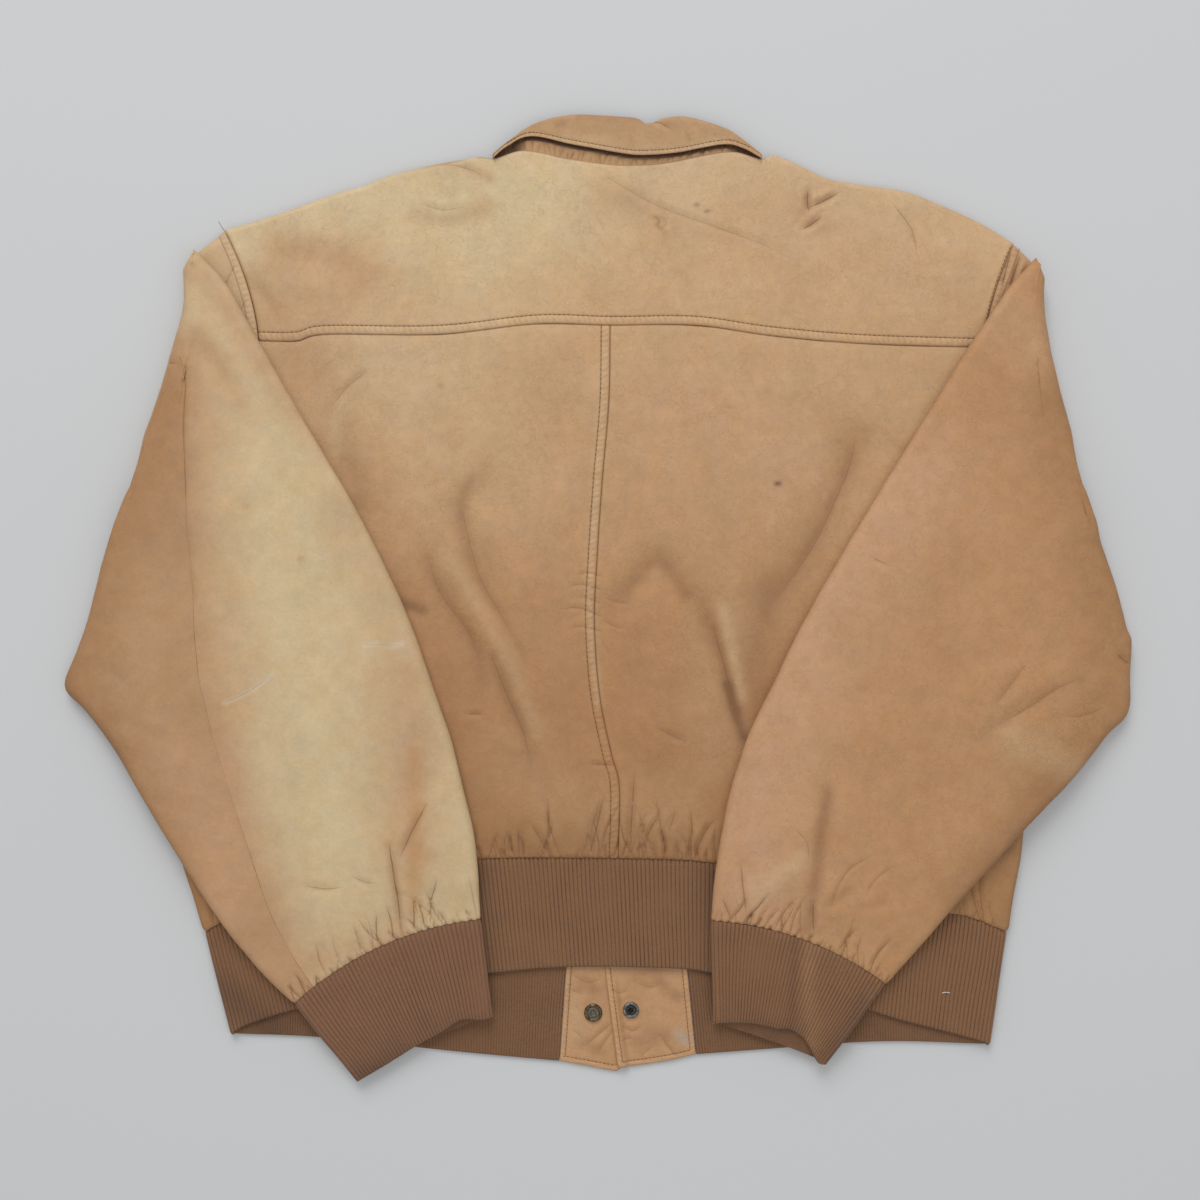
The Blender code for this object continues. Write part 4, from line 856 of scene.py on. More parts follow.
def cloth(name, outer, inner, face, relief, colour, material, node, ring=False, gap=5,
          inside=None, maps=None, edge=FAR, slot="leather"):
    """A closed wall, a finely pointed outer skin and a coarser inner one; gives its outer skin.

    relief moves the outer skin along face; the inner one follows its wide swells, or takes
    `inside`.  maps holds pairs of numbers at the outer points, and edge is their distance
    from a seam.  The wall stands for the CAD node of that name.
    """
    swells = blurred(relief, 4)
    inner = inner + face * (swells if inside is None else inside)[..., None]
    outer = outer + face * relief[..., None]
    rows, columns = outer.shape[:2]
    spans = columns if ring else columns - 1
    keep_rows = sorted({*range(0, rows, gap), rows - 1})
    keep_columns = sorted({*range(0, columns, gap)} | (set() if ring else {columns - 1}))
    fine = np.arange(rows * columns).reshape(rows, columns)
    coarse = rows * columns + np.arange(len(keep_rows) * len(keep_columns))
    coarse = coarse.reshape(len(keep_rows), len(keep_columns))
    faces = []
    for grid, wide in ((fine, spans), (coarse, len(keep_columns) - (0 if ring else 1))):
        turned = np.roll(grid, -1, axis=1)
        quads = np.stack([grid[:-1, :wide], turned[:-1, :wide],
                          turned[1:, :wide], grid[1:, :wide]], axis=-1)
        faces += quads.reshape(-1, 4).tolist()
    pairs = list(zip(range(len(keep_columns)), keep_columns,
                     keep_columns[1:] + ([columns] if ring else [])))
    for end, at in ((0, 0), (-1, rows - 1)):
        for k, first, last in pairs:
            side = [int(fine[at, j % columns]) for j in range(first, last + 1)]
            faces.append(side + [int(coarse[end, (k + 1) % len(keep_columns)]),
                                 int(coarse[end, k])])
    if not ring:
        for end, at in ((0, 0), (-1, columns - 1)):
            for k, first, last in zip(range(len(keep_rows)), keep_rows, keep_rows[1:]):
                side = [int(fine[i, at]) for i in range(first, last + 1)]
                faces.append(side + [int(coarse[k + 1, end]), int(coarse[k, end])])
    spots = np.ix_(keep_rows, keep_columns)
    points = np.vstack([outer.reshape(-1, 3), inner[spots].reshape(-1, 3)]) * MM
    mesh = bpy.data.meshes.new(name)
    mesh.from_pydata(points.tolist(), [], faces)
    knitted = material == "rib"
    store(mesh, "tone", "FLOAT_COLOR", np.column_stack([
        np.vstack([colour.reshape(-1, 3), colour[spots].reshape(-1, 3) * INSIDE_TONE[knitted]]),
        np.ones(len(points))]), "color")

    def on_both(outside, inside):
        outside = np.broadcast_to(outside, (rows, columns))
        inside = np.broadcast_to(inside, (rows, columns))
        return np.concatenate([outside.ravel(), inside[spots].ravel()])

    # Fine relief, which the leather paints darker in valleys and lighter on ridges: painted shade
    # and highlight.
    store(mesh, "relief", "FLOAT", on_both(relief - swells, 0.0), "value")
    store(mesh, "edge", "FLOAT", on_both(edge, FAR), "value")
    behind = ({"weave": (maps["weave"][0] * INSIDE_RIBS, maps["weave"][1])} if knitted
              else {"seam": NO_SEAM, "crease": NO_CREASE})
    maps = maps if knitted else {**behind, **(maps or {})}
    corners = np.zeros(len(mesh.loops), dtype=int)
    mesh.loops.foreach_get("vertex_index", corners)
    for key, values in maps.items():
        pair = np.column_stack([on_both(*both) for both in zip(values, behind[key])])
        mesh.uv_layers.new(name=key).data.foreach_set(
            "uv", pair[corners].astype(np.float32).ravel())
    finished(name, mesh, [material], node)
    return outer


def placed(name, data):
    """A new object in the scene."""
    made = bpy.data.objects.new(name, data)
    bpy.context.scene.collection.objects.link(made)
    return made


def finished(name, mesh, worn, *nodes):
    """Turns a mesh's faces outward, smooths it and makes it a piece of the jacket."""
    shape = bmesh.new()
    shape.from_mesh(mesh)
    bmesh.ops.recalc_face_normals(shape, faces=shape.faces)
    if shape.calc_volume(signed=True) < 0:
        bmesh.ops.reverse_faces(shape, faces=shape.faces)
    shape.to_mesh(mesh)
    shape.free()
    mesh.polygons.foreach_set("use_smooth", [True] * len(mesh.polygons))
    mesh.set_sharp_from_angle(angle=SMOOTH_ANGLE)
    for material in worn:
        mesh.materials.append(materials[material])
    piece = placed(name, mesh)
    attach(piece, "root")
    if nodes:
        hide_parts(*nodes)
    return piece


def turned_edge(distance):
    """How far down a rounded edge has turned at a distance in from it, and how far out, 0..1."""
    lean = np.clip(1 - distance / TURN, 0, 1)
    return 1 - np.sqrt(1 - lean ** 2), lean


def coons(bottom, top, start, end, across, up):
    """Grid of XY points inside four edges; `across` and `up` are shares 0..1."""
    p = np.asarray(across)[None, :, None]
    q = np.asarray(up)[:, None, None]
    low, high = bottom(across)[None], top(across)[None]
    first, last = start(up)[:, None], end(up)[:, None]
    first = first + (low[:, :1] - first[:1]) * (1 - q) + (high[:, :1] - first[-1:]) * q
    last = last + (low[:, -1:] - last[:1]) * (1 - q) + (high[:, -1:] - last[-1:]) * q
    corners = ((1 - p) * (1 - q) * low[:, :1] + p * (1 - q) * low[:, -1:]
               + (1 - p) * q * high[:, :1] + p * q * high[:, -1:])
    return (1 - q) * low + q * high + (1 - p) * first + p * last - corners


def panel(name, node, xy, height, relief, turn, out, below, colour, **more):
    """A flat panel with turned edges; its wall hangs below a back and stands on a front."""
    down, lean = turned_edge(turn)
    meeting = TURN + below * SEAM / 2
    outer = np.dstack([xy, height + (meeting - height) * down])
    face = np.dstack([out * lean[..., None], below * np.sqrt(1 - lean ** 2)])
    relief = relief * np.sqrt(1 - np.minimum(lean, 0.8) ** 2)
    return cloth(name, outer, outer - LEATHER * face, face, relief, colour, "leather", node,
                 **more)


# ---- body
UNDERARM = 0.6
EDGE_FROM = 1 - 2 * TURN / BODY_HALF


def inset(curve, dx, dy):
    """The same curve, moved aside."""
    return lambda share: curve(share) + np.array([dx, dy])


def from_middle(middle, side, across):
    """Shares of a left-to-right curve, from its middle share out to one side."""
    return middle + ((0.0 if side == "left" else 1.0) - middle) * np.asarray(across)


def to_corner(xy, side, across):
    """Carries a waist seam on, past the band's own turn, to the leather's side seam."""
    corner = np.array([side_x(SIDE[-1], side), SIDE[-1].y])
    past = np.clip((across - EDGE_FROM) / (1 - EDGE_FROM), 0, 1)[:, None]
    return xy * (1 - past) + corner * past


def outer_edge(side, top_share):
    """Edge of a body panel: from the waist up the side seam, then the armhole to top_share."""
    down = path([(side_x(row, side), row.y) for row in SIDE])

    def at(up):
        below = down(np.clip(1 - up / UNDERARM, 0, 1))
        share = 1 - np.clip((up - UNDERARM) / (1 - UNDERARM), 0, 1) * (1 - top_share)
        above = armhole(side, share) - np.array([SIGN[side] * ROOT_GAP, 0])
        return np.where((up <= UNDERARM)[:, None], below, above)

    return at


def side_turn(xy, edge, up):
    """Distance of each point from the turned side seam; the armhole above isn't turned."""
    away = np.linalg.norm(xy - edge[:, None], axis=-1)
    return away + 2 * TURN * smooth((up - UNDERARM + 0.03) / 0.02)[:, None]


def facing_out(edge, sign):
    """Unit directions in the floor's plane, square to an edge."""
    tangent = np.gradient(edge, axis=0)
    return sign * unit(np.stack([-tangent[:, 1], tangent[:, 0]], axis=-1))


def away_from_neck(x, reach):
    """Puts a turned edge out of reach where the neck's opening is."""
    return 2 * TURN * smooth((reach - np.abs(x - NECK_MIDDLE)) / NECK_BLEND)


def back_colour(x, y):
    """Colours of the back and yoke: the ramp down the back, then its strokes."""
    heights = [at for at, _ in BACK_RAMP][::-1]
    codes = np.array([tone(code) for _, code in BACK_RAMP])[::-1]
    base = np.stack([np.interp(y, heights, codes[:, k]) for k in range(3)], axis=-1)
    return painted(x, y, base, BACK_STROKES)


def make_back(side):
    sign = SIGN[side]
    up = graded(BACK_HEIGHT, 1.8, start=0.7, end=0.5)
    across = graded(BODY_HALF, 1.6, start=0.5, end=0.4, hold=8 if side == "left" else 0)
    outside = outer_edge(side, YOKE_AT[side])

    def waist(share):
        inner = np.minimum(share / EDGE_FROM, 1)
        xy = to_corner(WAIST_CURVE(from_middle(WAIST_MIDDLE, side, inner)), side, share)
        return xy + np.array([sign * SEAM / 2, SEAM / 2])

    def yoke(share):
        xy = YOKE_CURVE(from_middle(YOKE_MIDDLE, side, share))
        return xy + np.array([sign * SEAM / 2, -SEAM / 2])

    xy = coons(waist, yoke, inset(BACK_CURVE, sign * SEAM / 2, 0), outside, across, up)
    x, y = xy[..., 0], xy[..., 1]
    seam_x = np.interp(y, *BACK_CURVE(np.linspace(0, 1, 200)).T[::-1])
    from_seam = -(x - seam_x)
    top = np.interp(x, *YOKE_CURVE(np.linspace(0, 1, 400)).T) - y
    above = np.maximum(y - waist_seam_y(x), 0)
    seam = WAIST_CURVE(from_middle(WAIST_MIDDLE, side, np.linspace(0, 1, 120)))
    creases = BACK_CREASES + gathers(seam, np.array([0.0, 1.0]), 1.3, 11 + len(side), 4.8, 52.0)
    relief = creased(x, y, creases) + 0.5 * rumple(x, y, 55, 3) + 0.16 * rumple(x, y, 14, 4)
    relief += seam_ditch(top) - 0.25 * np.exp(-((top - 2.5) / 1.6) ** 2)
    relief += stitched_edge(from_seam, y, 5) if side == "left" else seam_ditch(from_seam)
    scallop = 0.5 + 0.5 * np.sin(2 * np.pi * x / 6.2 + 2.0 * rumple(x, 0 * x, 25, 6))
    relief -= (1.3 + 0.9 * scallop) * np.exp(-(above / 1.6) ** 1.4)
    out = np.zeros_like(xy)
    out[..., 0] = sign
    underarm_y = ARMHOLE[side][1][1]
    from_hole = sign * (armhole_x(side, y) - x) + FAR * (y < underarm_y)
    edge = np.min([top, np.abs(from_seam), above + 0.35, np.abs(from_hole)], axis=0)
    maps = {"crease": crease_lines(x, y, creases)}
    if side == "left":
        maps["seam"] = (y, from_seam)
    return panel(f"{side}_back_panel", f"back_{side}", xy, back_height(x, y), relief,
                 side_turn(xy, outside(up), up), out, 1.0, back_colour(x, y), maps=maps, edge=edge)


def make_yoke():
    def armhole_edge(side):
        inward = np.array([-SIGN[side] * ROOT_GAP, 0])
        return lambda share: armhole(side, YOKE_AT[side] * (1 - share)) + inward

    half = graded(BODY_HALF, 1.5, end=0.6)
    across = np.concatenate([from_middle(YOKE_MIDDLE, "left", half)[::-1],
                             from_middle(YOKE_MIDDLE, "right", half)[1:]])
    up = graded(YOKE_HEIGHT, 1.6, start=0.5, end=0.35, hold=8)
    xy = coons(inset(YOKE_CURVE, 0, SEAM / 2), YOKE_TOP,
               armhole_edge("left"), armhole_edge("right"), across, up)
    edge = YOKE_TOP(across)
    x, y = xy[..., 0], xy[..., 1]
    out = np.broadcast_to(facing_out(edge, 1.0), xy.shape)
    from_top = np.linalg.norm(xy - edge, axis=-1)
    turn = from_top + away_from_neck(edge[:, 0], NECK_REACH["yoke"])
    seam = y - np.interp(x, *YOKE_CURVE(np.linspace(0, 1, 400)).T)
    at_neck = smooth((NECK_REACH["yoke"] - np.abs(x - NECK_MIDDLE)) / NECK_BLEND)
    relief = creased(x, y, YOKE_CREASES) + stitched_edge(seam, x, 7)
    relief += 0.6 * rumple(x, y, 60, 8) + 0.15 * rumple(x, y, 13, 9)
    edge = np.minimum(np.abs(seam), from_top + FAR * (1 - at_neck))
    for side in SIGN:
        away = SIGN[side] * (armhole_x(side, y) - x) - ROOT_GAP
        relief += seam_ditch(away) + 0.3 * np.exp(-((away - 3) / 2.5) ** 2)
        edge = np.minimum(edge, np.abs(away))
    relief += at_neck * 0.6 * seam_ditch(from_top)
    return panel("yoke_panel", "back_yoke", xy, back_height(x, y), relief, turn, out, 1.0,
                 back_colour(x, y), edge=edge,
                 maps={"seam": (x, seam), "crease": crease_lines(x, y, YOKE_CREASES)})


def make_front(side):
    sign = SIGN[side]
    up = graded(FRONT_HEIGHT, 5.0, start=1.5, end=0.8)
    across = graded(BODY_HALF, 4.5, start=1.5, end=0.5)
    outside = outer_edge(side, 0.0)
    under = WAIST_UNDER[side]
    zip_edge = sign * (ZIP_WIDTH / 2 + SEAM)

    def waist(share):
        inner = np.minimum(share / EDGE_FROM, 1)
        xy = to_corner(through(under, inner * (len(under) - 1))[:, :2], side, share)
        start = np.array([FRONT_EDGE[-1][0] + zip_edge, under[0].seam_y]) - xy[0]
        return xy + start * (1 - smooth(share / 0.1))[:, None] + np.array([0, SEAM])

    neck_x, neck_y = FRONT_EDGE[0]
    top = path([(neck_x + zip_edge, neck_y)] + FRONT_NECK[side] + SHOULDER[side][::-1])
    xy = coons(waist, top, inset(path(FRONT_EDGE[::-1]), zip_edge, 0), outside, across, up)
    x, y = xy[..., 0], xy[..., 1]
    edge = top(across)
    top_turn = (np.linalg.norm(xy - edge, axis=-1)
                + away_from_neck(edge[:, 0], NECK_REACH["front"]))
    turn = side_turn(xy, outside(up), up)
    out = np.zeros_like(xy)
    out[..., 0] = sign
    out = np.where((top_turn < turn)[..., None], facing_out(edge, sign), out)
    relief = -0.5 - 0.4 * rumple(x, y, 45, 21 + len(side))
    relief += creased(x, y, gathers(waist(np.linspace(0, 1, 80)), np.array([0.0, 1.0]), 1.2,
                                    31 + len(side), 8.0))
    relief = np.minimum(relief, 0) * smooth(np.minimum(top_turn, turn) / 12)
    colour = painted(x, y, TONES["camel"], BACK_STROKES[:1])
    return panel(f"{side}_front_panel", f"front_{side}", xy, front_bottom(x, y), relief,
                 np.minimum(top_turn, turn), out, -1.0, colour)


# ---- bands
BEND = np.radians(np.linspace(15, 165, 11))


def doubled_band(under, back, levels, down, thick, step, drop=0.0, hem=0.0, reach=None):
    """Skins of a band laid flat and doubled, from its left end round the back to its right.

    Also gives the distance travelled along the band at each column, and which columns lie
    on top.  drop rounds the first edge of the back over, hem rounds both free edges, and
    reach is how far its two ends stand out.
    """
    radius = (levels[1] - levels[0]) / 2
    wide = np.array([reach or radius, 0, reach or radius, 0])
    rows = list(under["left"])
    cosine, sine = [1.0] * len(rows), [0.0] * len(rows)
    for side, bend in (("left", BEND), ("right", BEND[::-1])):
        corner = [np.array(under[side][-1]) + SIGN[side] * np.sin(angle) * wide for angle in bend]
        line = list(back) if side == "left" else list(under["right"])[::-1]
        rows += corner + line
        cosine += list(np.cos(bend)) + [-1.0 if side == "left" else 1.0] * len(line)
        sine += list(SIGN[side] * np.sin(bend)) + [0.0] * len(line)
    rows, cosine, sine = np.array(rows, dtype=float), np.array(cosine), np.array(sine)
    middle = np.column_stack([(rows[:, :2] + rows[:, 2:]) / 2, -radius * cosine])
    reached = travelled(middle)
    along = np.linspace(0, reached[-1], int(reached[-1] / step) + 1)
    rows = np.column_stack([np.interp(along, reached, rows[:, k]) for k in range(4)])[:, None]
    cosine, sine = (np.interp(along, reached, values)[:, None] for values in (cosine, sine))
    length = np.hypot(cosine, sine)
    cosine, sine = cosine / length, sine / length
    down = np.array(down)[:, None]
    xy = rows[..., :2] * (1 - down) + rows[..., 2:] * down
    level = levels[0] + radius - radius * cosine
    near_fold = np.clip(1 - down[:, 0] / FOLD_SHARE, 0, 1)
    over = drop * (1 - np.sqrt(1 - near_fold ** 2)) * smooth(-cosine)
    lean = np.stack([sine + 0 * over, 0 * over, -cosine + 0 * over], axis=-1)
    outer = np.dstack([xy, level - over])
    inner = outer - thick * lean
    edge = np.clip((down[:, 0] - 0.965) / 0.035, 0, 1)[None, :, None]
    rounded = hem * (1 - np.sqrt(1 - 0.98 * edge ** 2)) * lean
    return outer - rounded, inner + rounded, along, smooth(-cosine)


def ribbed(phase):
    """Rounded ribs with sharp valleys between them, 0 in a valley and 1 on a rib."""
    return np.abs(np.sin(np.pi * phase)) ** 0.5


def make_waistband():
    gap = np.array([0, -SEAM / 2, 0, 0])
    under = {side: even(rows, 120) + gap for side, rows in WAIST_UNDER.items()}
    at = np.linspace(0, 1, 300)
    back = np.hstack([WAIST_CURVE(at), HEM_CURVE(at)]) + gap
    down = np.concatenate([[0, 0.012, 0.03, 0.06], np.linspace(0.12, 0.94, 9),
                           [0.965, 0.98, 0.99, 1]])
    outer, inner, along, _ = doubled_band(under, back, (0.0, WAIST), down, RIB,
                                          RIB_PITCH / RIB_STEPS, hem=1.0)
    x, y = outer[..., 0], outer[..., 1]
    phase = along[:, None] / RIB_PITCH + 0.16 * rumple(x, y, 34, 41)
    down = np.broadcast_to(down, x.shape)
    relief = RIB_DEPTH * (ribbed(phase) - 1) - 0.9 * np.exp(-(down * BAND_HEIGHT / 2.2) ** 2)
    relief += 0.25 * rumple(x, y, 30, 43) - 0.25
    relief *= np.where(outer[..., 2] < 1.0, 0.6, 1.0)
    cloth("waistband_knit", outer, inner, outward(outer, inner), np.minimum(relief, 0.0),
          painted(x, y, TONES["rib"], BAND_STROKES), "rib", "waistband", gap=1,
          inside=0.5 * (1 - ribbed(phase * INSIDE_RIBS)),
          maps={"weave": (phase, down * BAND_HEIGHT)}, slot="rib")


def make_collar():
    made = []
    edge_line = even(LEAF["back"], 200)[:, 2:]
    for name, node, table, levels, down, drop in (
            ("collar_leaf_panel", "collar_leaf", LEAF, LEAF_LEVELS,
             np.concatenate([[0, 0.008, 0.02, 0.045, 0.08, 0.12], np.linspace(0.17, 0.80, 12),
                             np.linspace(0.84, 0.98, 8), [0.99, 1]]), 4.0),
            ("collar_stand_panel", "collar_stand", STAND, STAND_LEVELS,
             np.linspace(0, 1, 20), 0.0)):
        leaf = node == "collar_leaf"
        under = {side: even(table[side], 60) for side in SIGN}
        back = even(table["back"], 160)
        if not leaf:
            neck = YOKE_TOP(np.linspace(0, 1, 600))
            back[:, 3] = np.interp(back[:, 2], neck[:, 0], neck[:, 1]) + NECK_GAP
        outer, inner, along, on_top = doubled_band(under, back, levels, down, COLLAR_WALL, 0.9,
                                                   drop, hem=0.95 if leaf else 0.0, reach=1.2)
        x, y = outer[..., 0], outer[..., 1]
        down = np.broadcast_to(down, x.shape)
        if leaf:
            from_edge = (1 - down) * np.linalg.norm(outer[:, :1] - outer[:, -1:], axis=-1)
            creases = LEAF_CREASES
            relief = 0.25 * rumple(x, y, 22, 51) + 0.10 * rumple(x, y, 7, 52) - 0.2
            relief -= 0.4 * np.exp(-((from_edge - LEAF_STITCH) / 0.8) ** 2)
            dent = NOTCH.dy * np.exp(-((x - NOTCH.x) / NOTCH.reach) ** 2)
            dent *= 1 - smooth(down / 0.3)
            outer[..., 1] += dent * on_top
            inner[..., 1] += dent * on_top
            colour = painted(x, y, tone("#b38e68"), LEAF_STROKES)
            maps = {"seam": (along[:, None], from_edge * TOPSTITCH / LEAF_STITCH)}
        else:
            line = back[:, 2:][::4]
            creases = gathers(line, np.array([0.0, 1.0]), 0.9, 53, 4.5, 15.0)
            relief = 0.12 * rumple(x, y, 6, 54) - 0.35
            # The stand is painted near-black brown just under the leaf's edge and near both ends:
            # a painted shadow in the hollow under the leaf.
            hidden = np.interp(x, edge_line[:, 0], edge_line[:, 1]) - y
            clear_of_painted_shadow = smooth((hidden - 1.2) / 1.8) * smooth((x + 64) / 12) * smooth((108 - x) / 12)
            colour = TONES["bark"] * (1 - clear_of_painted_shadow[..., None]) + tone("#b28c64") * clear_of_painted_shadow[..., None]
            maps = {}
        relief = np.minimum(relief + creased(x, y, creases), 0.15) * on_top
        offset, shown = crease_lines(x, y, creases)
        maps["crease"] = (offset, shown * on_top)
        made.append(cloth(name, outer, inner, outward(outer, inner), relief, colour, "leather",
                          node, gap=3, maps=maps))
    return made


# ---- sleeves
ROOT_END = 1.4       # the stations before this one carry the armhole's stitches
ARC = np.radians(np.linspace(-90, 90, 13))
CUFF_ARC = np.radians(np.linspace(-90, 90, 25))


def tube_columns(marks, counts, arc=ARC):
    """Columns round a flattened tube, through marks with counts of even spans between them.

    Marks run from 0 to 1 over the upper skin, from the overarm to the underarm edge, and on
    to 2 under the lower one.  Each column has its share of the width, its angle from the
    lower (-90) to the upper skin, and its edge's end.
    """
    share, angle, end = [], [], []
    for start, stop, count in zip(marks, marks[1:], counts):
        upper = np.floor((start + stop) / 2) % 2 == 0
        for at in np.linspace(start, stop, count + 1):
            share.append(at % 2 if upper and at < 1 else 1 - abs(1 - at % 2))
            angle.append(arc[-1] if upper else arc[0])
            end.append(0.0)
        if stop != marks[-1]:
            over = stop % 2 == 0
            share += [0.0 if over else 1.0] * (len(arc) - 2)
            angle += list(arc[1:-1] if over else arc[-2:0:-1])
            end += [-1.0 if over else 1.0] * (len(arc) - 2)
    return np.array(share), np.array(angle), np.array(end)


def sleeve_columns(side, piece, seam, gap):
    """Columns of a sleeve's upper or under piece, which leave half a seam's gap beside it."""
    if side == "right":
        if piece == "upper":
            return tube_columns([-OVER_SEAM + gap, 0, 1, 1 + UNDER_SEAM - gap], [8, 116, 8])
        return tube_columns([1 + UNDER_SEAM + gap, 2 - OVER_SEAM - gap], [44])
    if piece == "upper":
        return tube_columns([-HIDDEN_SEAM + gap, 0, seam - gap], [34, 84])
    return tube_columns([seam + gap, 1, 2 - HIDDEN_SEAM - gap], [46, 34])


def beside(way):
    """The direction to the left of another, in the floor's plane."""
    return np.stack([-way[..., 1], way[..., 0]], axis=-1)


def edges_out(side, travel):
    """Outward directions of an overarm and an underarm edge that run along `travel`."""
    return unit(beside(travel)) * SIGN[side] * np.array([[-1.0], [1.0]])


def tube_ring(ends, ways, mitres, bow, columns, half, noses, depth):
    """XY, share from end to end, and height from -half to half of one ring's columns."""
    share, angle, end = columns
    nose = np.where(end < 0, noses[0], noses[1])
    width = np.linalg.norm(ends[1] - ends[0])
    along = noses[0] + share * (width - noses.sum()) + end * (nose - depth) * np.cos(angle)
    base = ends - ways * noses[:, None]
    reach = (ways * noses[:, None] - mitres * depth)[(end > 0).astype(int)]
    xy = bowed(base[0], base[1], bow, share) + np.cos(angle)[:, None] * reach
    return xy, along / width, np.sin(angle) * (half - depth)


def sleeve_ring(side, at, piece, depth):
    """Ring of a sleeve: 0 at the armhole, 1 to 2 round the shoulder's fold, then table rows."""
    row = max(at - 2, 0)
    ring = Ring(*through(SLEEVE[side], [row])[0])
    ends = np.array([[ring.over_x, ring.over_y], [ring.under_x, ring.under_y]])
    bow = SIGN[side] * ring.bow
    settle = 1 - smooth(row)
    half = BODY / 2 * settle + ring.height / 2 * (1 - settle)
    noses = END_SHAPE * half * np.array([1, 1 + UNDERARM_TAPER * settle])
    across = ends[1] - ends[0]
    columns = sleeve_columns(side, piece, ring.seam, SEAM / 2 / np.hypot(*across))
    near_rows = through(SLEEVE[side], [row - 0.1, row + 0.1])[:, :4]
    ways = edges_out(side, (near_rows[1] - near_rows[0]).reshape(2, 2))
    mitres = ways
    if at <= 2:
        sag = 4 * bow * unit(beside(across))
        ways = unit(np.array([-across - sag, across - sag]))
        shared = (ways * mitres).sum(axis=1, keepdims=True)
        mitres = (ways + mitres) / (1 + shared) if at == 2 else ways
    xy, share, level = tube_ring(ends, ways, mitres, bow, columns, half, noses, depth)
    xy = nudged(xy, SLEEVE_NUDGES[side])
    if at <= 2:
        return shoulder_fold(side, at, xy, share, level, across - sag * (2 * share[:, None] - 1))
    low = support_top(xy[:, 0], xy[:, 1], side, DROOP) + LIFT
    high = support_top(xy[:, 0], xy[:, 1], side, DRAPE) + LIFT + 2 * half
    low = low * (1 - settle) + (BODY + FOLD_INSIDE) * settle
    high = np.maximum(high, low + 2 * half) * (1 - settle) + (2 * BODY + FOLD_INSIDE) * settle
    level *= (high - low) / (2 * half)
    return np.column_stack([xy, (low + high) / 2 + level])


def shoulder_fold(side, at, xy, share, level, tangent):
    """Bends a sleeve's first rings from the armhole up and over, flat onto the back."""
    turn = np.pi * np.clip(at - 1, 0, 1)
    attached = np.clip(1 - at, 0, 1)
    clear = np.array([SIGN[side] * ROOT_GAP / 2, 0])
    xy = (armhole(side, share) + clear) * attached + xy * (1 - attached)
    axis = BODY + FOLD_INSIDE / 2
    away = (BODY + FOLD_INSIDE) / 2 + level
    out = SIGN[side] * unit(beside(tangent))
    wide = np.linalg.norm(tangent, axis=-1)
    narrowed = ((0.2 + 0.8 * smooth(share * wide / 15))
                * (0.10 + 0.90 * smooth((1 - share) * wide / 42)))
    return np.column_stack([xy + (away * np.sin(turn) * narrowed)[:, None] * out,
                            axis - away * np.cos(turn)])


